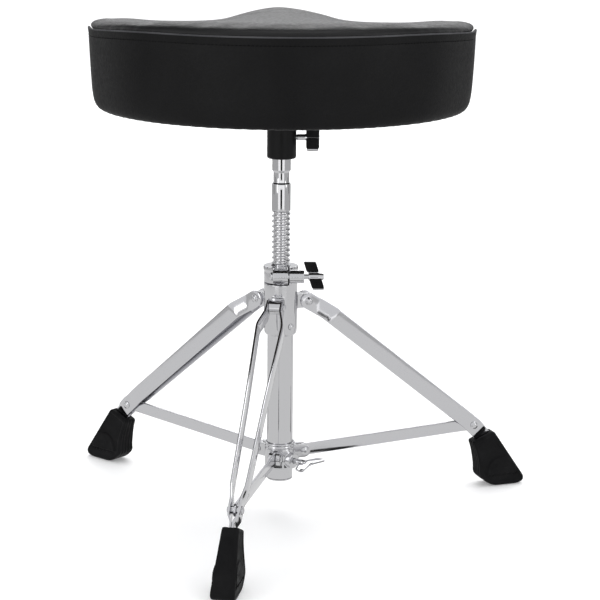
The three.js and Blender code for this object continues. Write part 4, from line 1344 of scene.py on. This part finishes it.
def boot_mesh():
    """One rubber boot in the leg's own plane, made once and used for each leg."""
    outline = foot_outline()
    sole_half = 14.0
    neck_half = 9.8
    obj = bevelled(solid("boot", plate(outline, sole_half)), 2.6, 3, 60)
    for vertex in obj.data.vertices:
        narrowing = smoothstep(10, 60, vertex.co.z)
        vertex.co.y *= mix(1, neck_half / sole_half, narrowing)
    middle = strap_line(ANKLE_DISTANCE + STRAP_TAIL - 6)
    place = Matrix.Translation(middle) @ Matrix.Rotation(-FOOT_SLOPE, 4, "Y")
    pocket = block((-26, -3.1, -STRAP_HALF - 0.5), (7, 3.1, STRAP_HALF + 0.5), place)
    combine(obj, [solid("pocket", pocket)], "DIFFERENCE")
    cast(obj, 0.9, 4)
    moves = [boot_relief(outline, vertex.co, vertex.normal) for vertex in obj.data.vertices]
    for vertex, move in zip(obj.data.vertices, moves):
        vertex.co += vertex.normal * move
        vertex.co.z = max(0.0, vertex.co.z)
    soften = obj.modifiers.new("soften", "SMOOTH")
    soften.iterations = 1
    return apply_modifiers(obj)


def feet():
    pattern = boot_mesh()
    for i, leg in enumerate(LEGS):
        obj = bpy.data.objects.new(f"leg_{leg}_rubber_foot", pattern.data.copy())
        show(obj)
        obj.data.transform(leg_turn(i))
        finished(obj, f"leg_{leg}", RUBBER, [f"leg_{leg}_foot"], sharp=70)
    discard(pattern)


def legs():
    for i, leg in enumerate(LEGS):
        for label, side in (("left", 1), ("right", -1)):
            leg_strap(leg, i, label, side)
            hub_stub(leg, i, label, side)
        ankle_rivet(leg, i)
        brace(leg, i)
    feet()


# ----------------------------------------------------------------------- stage
def add_camera():
    """Stands in front of the column, a little above the seat, looking down."""
    data = bpy.data.cameras.new("camera")
    data.lens = CAMERA_LENS
    data.sensor_width = 36
    data.clip_end = 100
    camera = bpy.data.objects.new("camera", data)
    forward = Vector((
        math.sin(CAMERA_PAN) * math.cos(CAMERA_PITCH), math.cos(CAMERA_PAN) * math.cos(CAMERA_PITCH),
        -math.sin(CAMERA_PITCH)))
    right = forward.cross(Vector((0, 0, 1))).normalized()
    up = right.cross(forward)
    c, s = math.cos(CAMERA_ROLL), math.sin(CAMERA_ROLL)
    axes = Matrix((right * c + up * s, up * c - right * s, -forward)).transposed().to_4x4()
    camera.matrix_world = COLUMN @ Matrix.Translation(CAMERA_PLACE * MM) @ axes
    show(camera)
    bpy.context.scene.camera = camera


def add_area(name, place, target, size, power):
    data = bpy.data.lights.new(name, "AREA")
    data.shape = "RECTANGLE"
    data.size, data.size_y = size
    data.energy = power
    lamp = bpy.data.objects.new(name, data)
    lamp.location = place
    lamp.rotation_euler = (Vector(target) - Vector(place)).to_track_quat("-Z", "Y").to_euler()
    lamp.visible_camera = False
    show(lamp)


# The lamps and cards face this place on the column, in metres.
AIM = (0, 0, 0.35)


def reflected_only(card):
    """A card that shows in reflections alone, as a studio's flags and bounces do."""
    card.visible_camera = False
    card.visible_shadow = False
    card.visible_diffuse = False
    show(card)


def glow_material(name, level):
    """A card's skin: it gives off an even light and reflects nothing."""
    skin = Surface(name, (0, 0, 0), 1.0, specular=0.0)
    skin.glow(level, 1.0)
    return skin.material


def card_mesh(name, outline, level):
    mesh = bpy.data.meshes.new(name)
    mesh.from_pydata(outline, [], [tuple(range(len(outline)))])
    mesh.materials.append(glow_material(name, level))
    return mesh


def add_flag(name, place, target, size):
    """An upright black card, to draw the chrome's dark edge lines."""
    level = 0.004
    w, h = size[0] / 2, size[1] / 2
    outline = [(-w, -h, 0), (w, -h, 0), (w, h, 0), (-w, h, 0)]
    card = bpy.data.objects.new(name, card_mesh(name, outline, level))
    card.location = place
    card.rotation_euler = (Vector(target) - Vector(place)).to_track_quat("Z", "Y").to_euler()
    reflected_only(card)


def add_sector(name, start, end, inner, outer, height, level):
    """Part of a flat ring round the column; angles are taken from the camera's side."""
    steps = max(2, round(abs(end - start) / 4))
    mesh = bpy.data.meshes.new(name)
    places = []
    for k in range(steps + 1):
        angle = math.radians(-90 + start + (end - start) * k / steps)
        places += [(radius * math.cos(angle), radius * math.sin(angle), height) for radius in (inner, outer)]
    faces = [(2 * k, 2 * k + 1, 2 * k + 3, 2 * k + 2) for k in range(steps)]
    mesh.from_pydata(places, [], faces)
    mesh.materials.append(glow_material(name, level))
    card = bpy.data.objects.new(name, mesh)
    card.matrix_world = COLUMN
    reflected_only(card)


def add_canopy(height, radius, edge):
    """The dark ceiling over the rear half; in front of y = edge it is left light."""
    level, steps = 0.03, 24
    outline = [(radius, edge, height)]
    for step in range(1, steps):
        angle = math.pi * step / steps
        outline.append((radius * math.cos(angle), edge + radius * math.sin(angle), height))
    outline.append((-radius, edge, height))
    reflected_only(bpy.data.objects.new("canopy", card_mesh("canopy", outline, level)))


def add_reflections():
    """Grey floor, a dark slot towards the camera between two bright bounces, dark shades
    round the column's foot, a dark ceiling behind and four upright flags."""
    black, shade, grey, near_grey, bright = 0.01, 0.015, 0.52, 0.76, 1.25
    slot_half, bounce_end = 11, 40
    near_edge, slot_edge, bounce_edge, grey_edge = 1.36, 3.6, 12, 14
    low, high = 0.004, 0.006
    add_sector("near_floor", -180, 180, 0.01, near_edge, low, near_grey)
    add_sector("dark_slot", -slot_half, slot_half, near_edge, slot_edge, low, black)
    for label, start, end in (("wide", -60, 19), ("narrow", 34, 75)):
        add_sector(f"{label}_shade", start, end, 0.135, 0.195, high, shade)
    for label, side in (("left", -1), ("right", 1)):
        start, end = side * slot_half, side * bounce_end
        add_sector(f"{label}_bounce", start, end, near_edge, bounce_edge, low, bright)
        add_sector(f"{label}_grey_floor", end, side * 180, near_edge, grey_edge, low, grey)
    add_canopy(3.0, 4.2, -0.05)
    add_flag("left_flag", (-0.95, 1.3, 0.5), AIM, (0.3, 1.6))
    add_flag("right_flag", (0.95, 1.3, 0.5), AIM, (0.3, 1.6))
    add_flag("left_side_flag", (-2.4, 0.5, 0.5), AIM, (0.35, 1.8))
    add_flag("right_side_flag", (2.4, 0.6, 0.5), AIM, (0.35, 1.8))


def add_floor():
    floor_shape = bmesh.new()
    bmesh.ops.create_circle(floor_shape, cap_ends=True, radius=16, segments=96)
    mesh = bpy.data.meshes.new("floor")
    floor_shape.to_mesh(mesh)
    floor_shape.free()
    skin = Surface("pale_floor", (0.88, 0.88, 0.88), 0.9, specular=0.1)
    skin.glow(1, 0.2)
    mesh.materials.append(skin.material)
    floor = bpy.data.objects.new("floor", mesh)
    floor.location = (0, 0, -0.0004)
    show(floor)


def add_lights():
    """Even white surroundings, a soft sun from overhead and three soft boxes."""
    scene = bpy.context.scene
    scene.view_settings.view_transform = "Standard"
    world = bpy.data.worlds.new("studio")
    world.use_nodes = True
    backdrop = world.node_tree.nodes["Background"]
    backdrop.inputs["Color"].default_value = (0.98, 0.985, 1.0, 1)
    backdrop.inputs["Strength"].default_value = 0.8
    scene.world = world
    sun = bpy.data.lights.new("overhead", "SUN")
    sun.energy = 1.15
    sun.angle = math.radians(50)
    lamp = bpy.data.objects.new("overhead", sun)
    lamp.rotation_euler = (math.radians(-18), math.radians(8), 0)
    show(lamp)
    add_area("left_box", (-1.9, -1.5, 0.9), AIM, (0.7, 1.8), 6.5)
    add_area("right_box", (2.1, -1.1, 1.0), AIM, (0.6, 1.8), 5.5)
    add_area("back_box", (0, 4.2, 3.2), (0, 0, 0.6), (2.6, 2.2), 50)


# -------------------------------------------------------------------- assembly
add_camera()
add_floor()
add_lights()
add_reflections()
seat_top_panel()
seat_side_band()
band_stitches()
seat_foam_pad()
seat_board_ply()
cover_staples()
seat_bracket()
seat_screws()
seat_wing()
spindle()
guide_ring()
centre_tube()
hub_casting()
thread_nut()
hub_rivets()
tube_end_cap()
clamp_bolt()
clamp_wing()
collar_ring()
collar_rivets()
collar_wing()
legs()
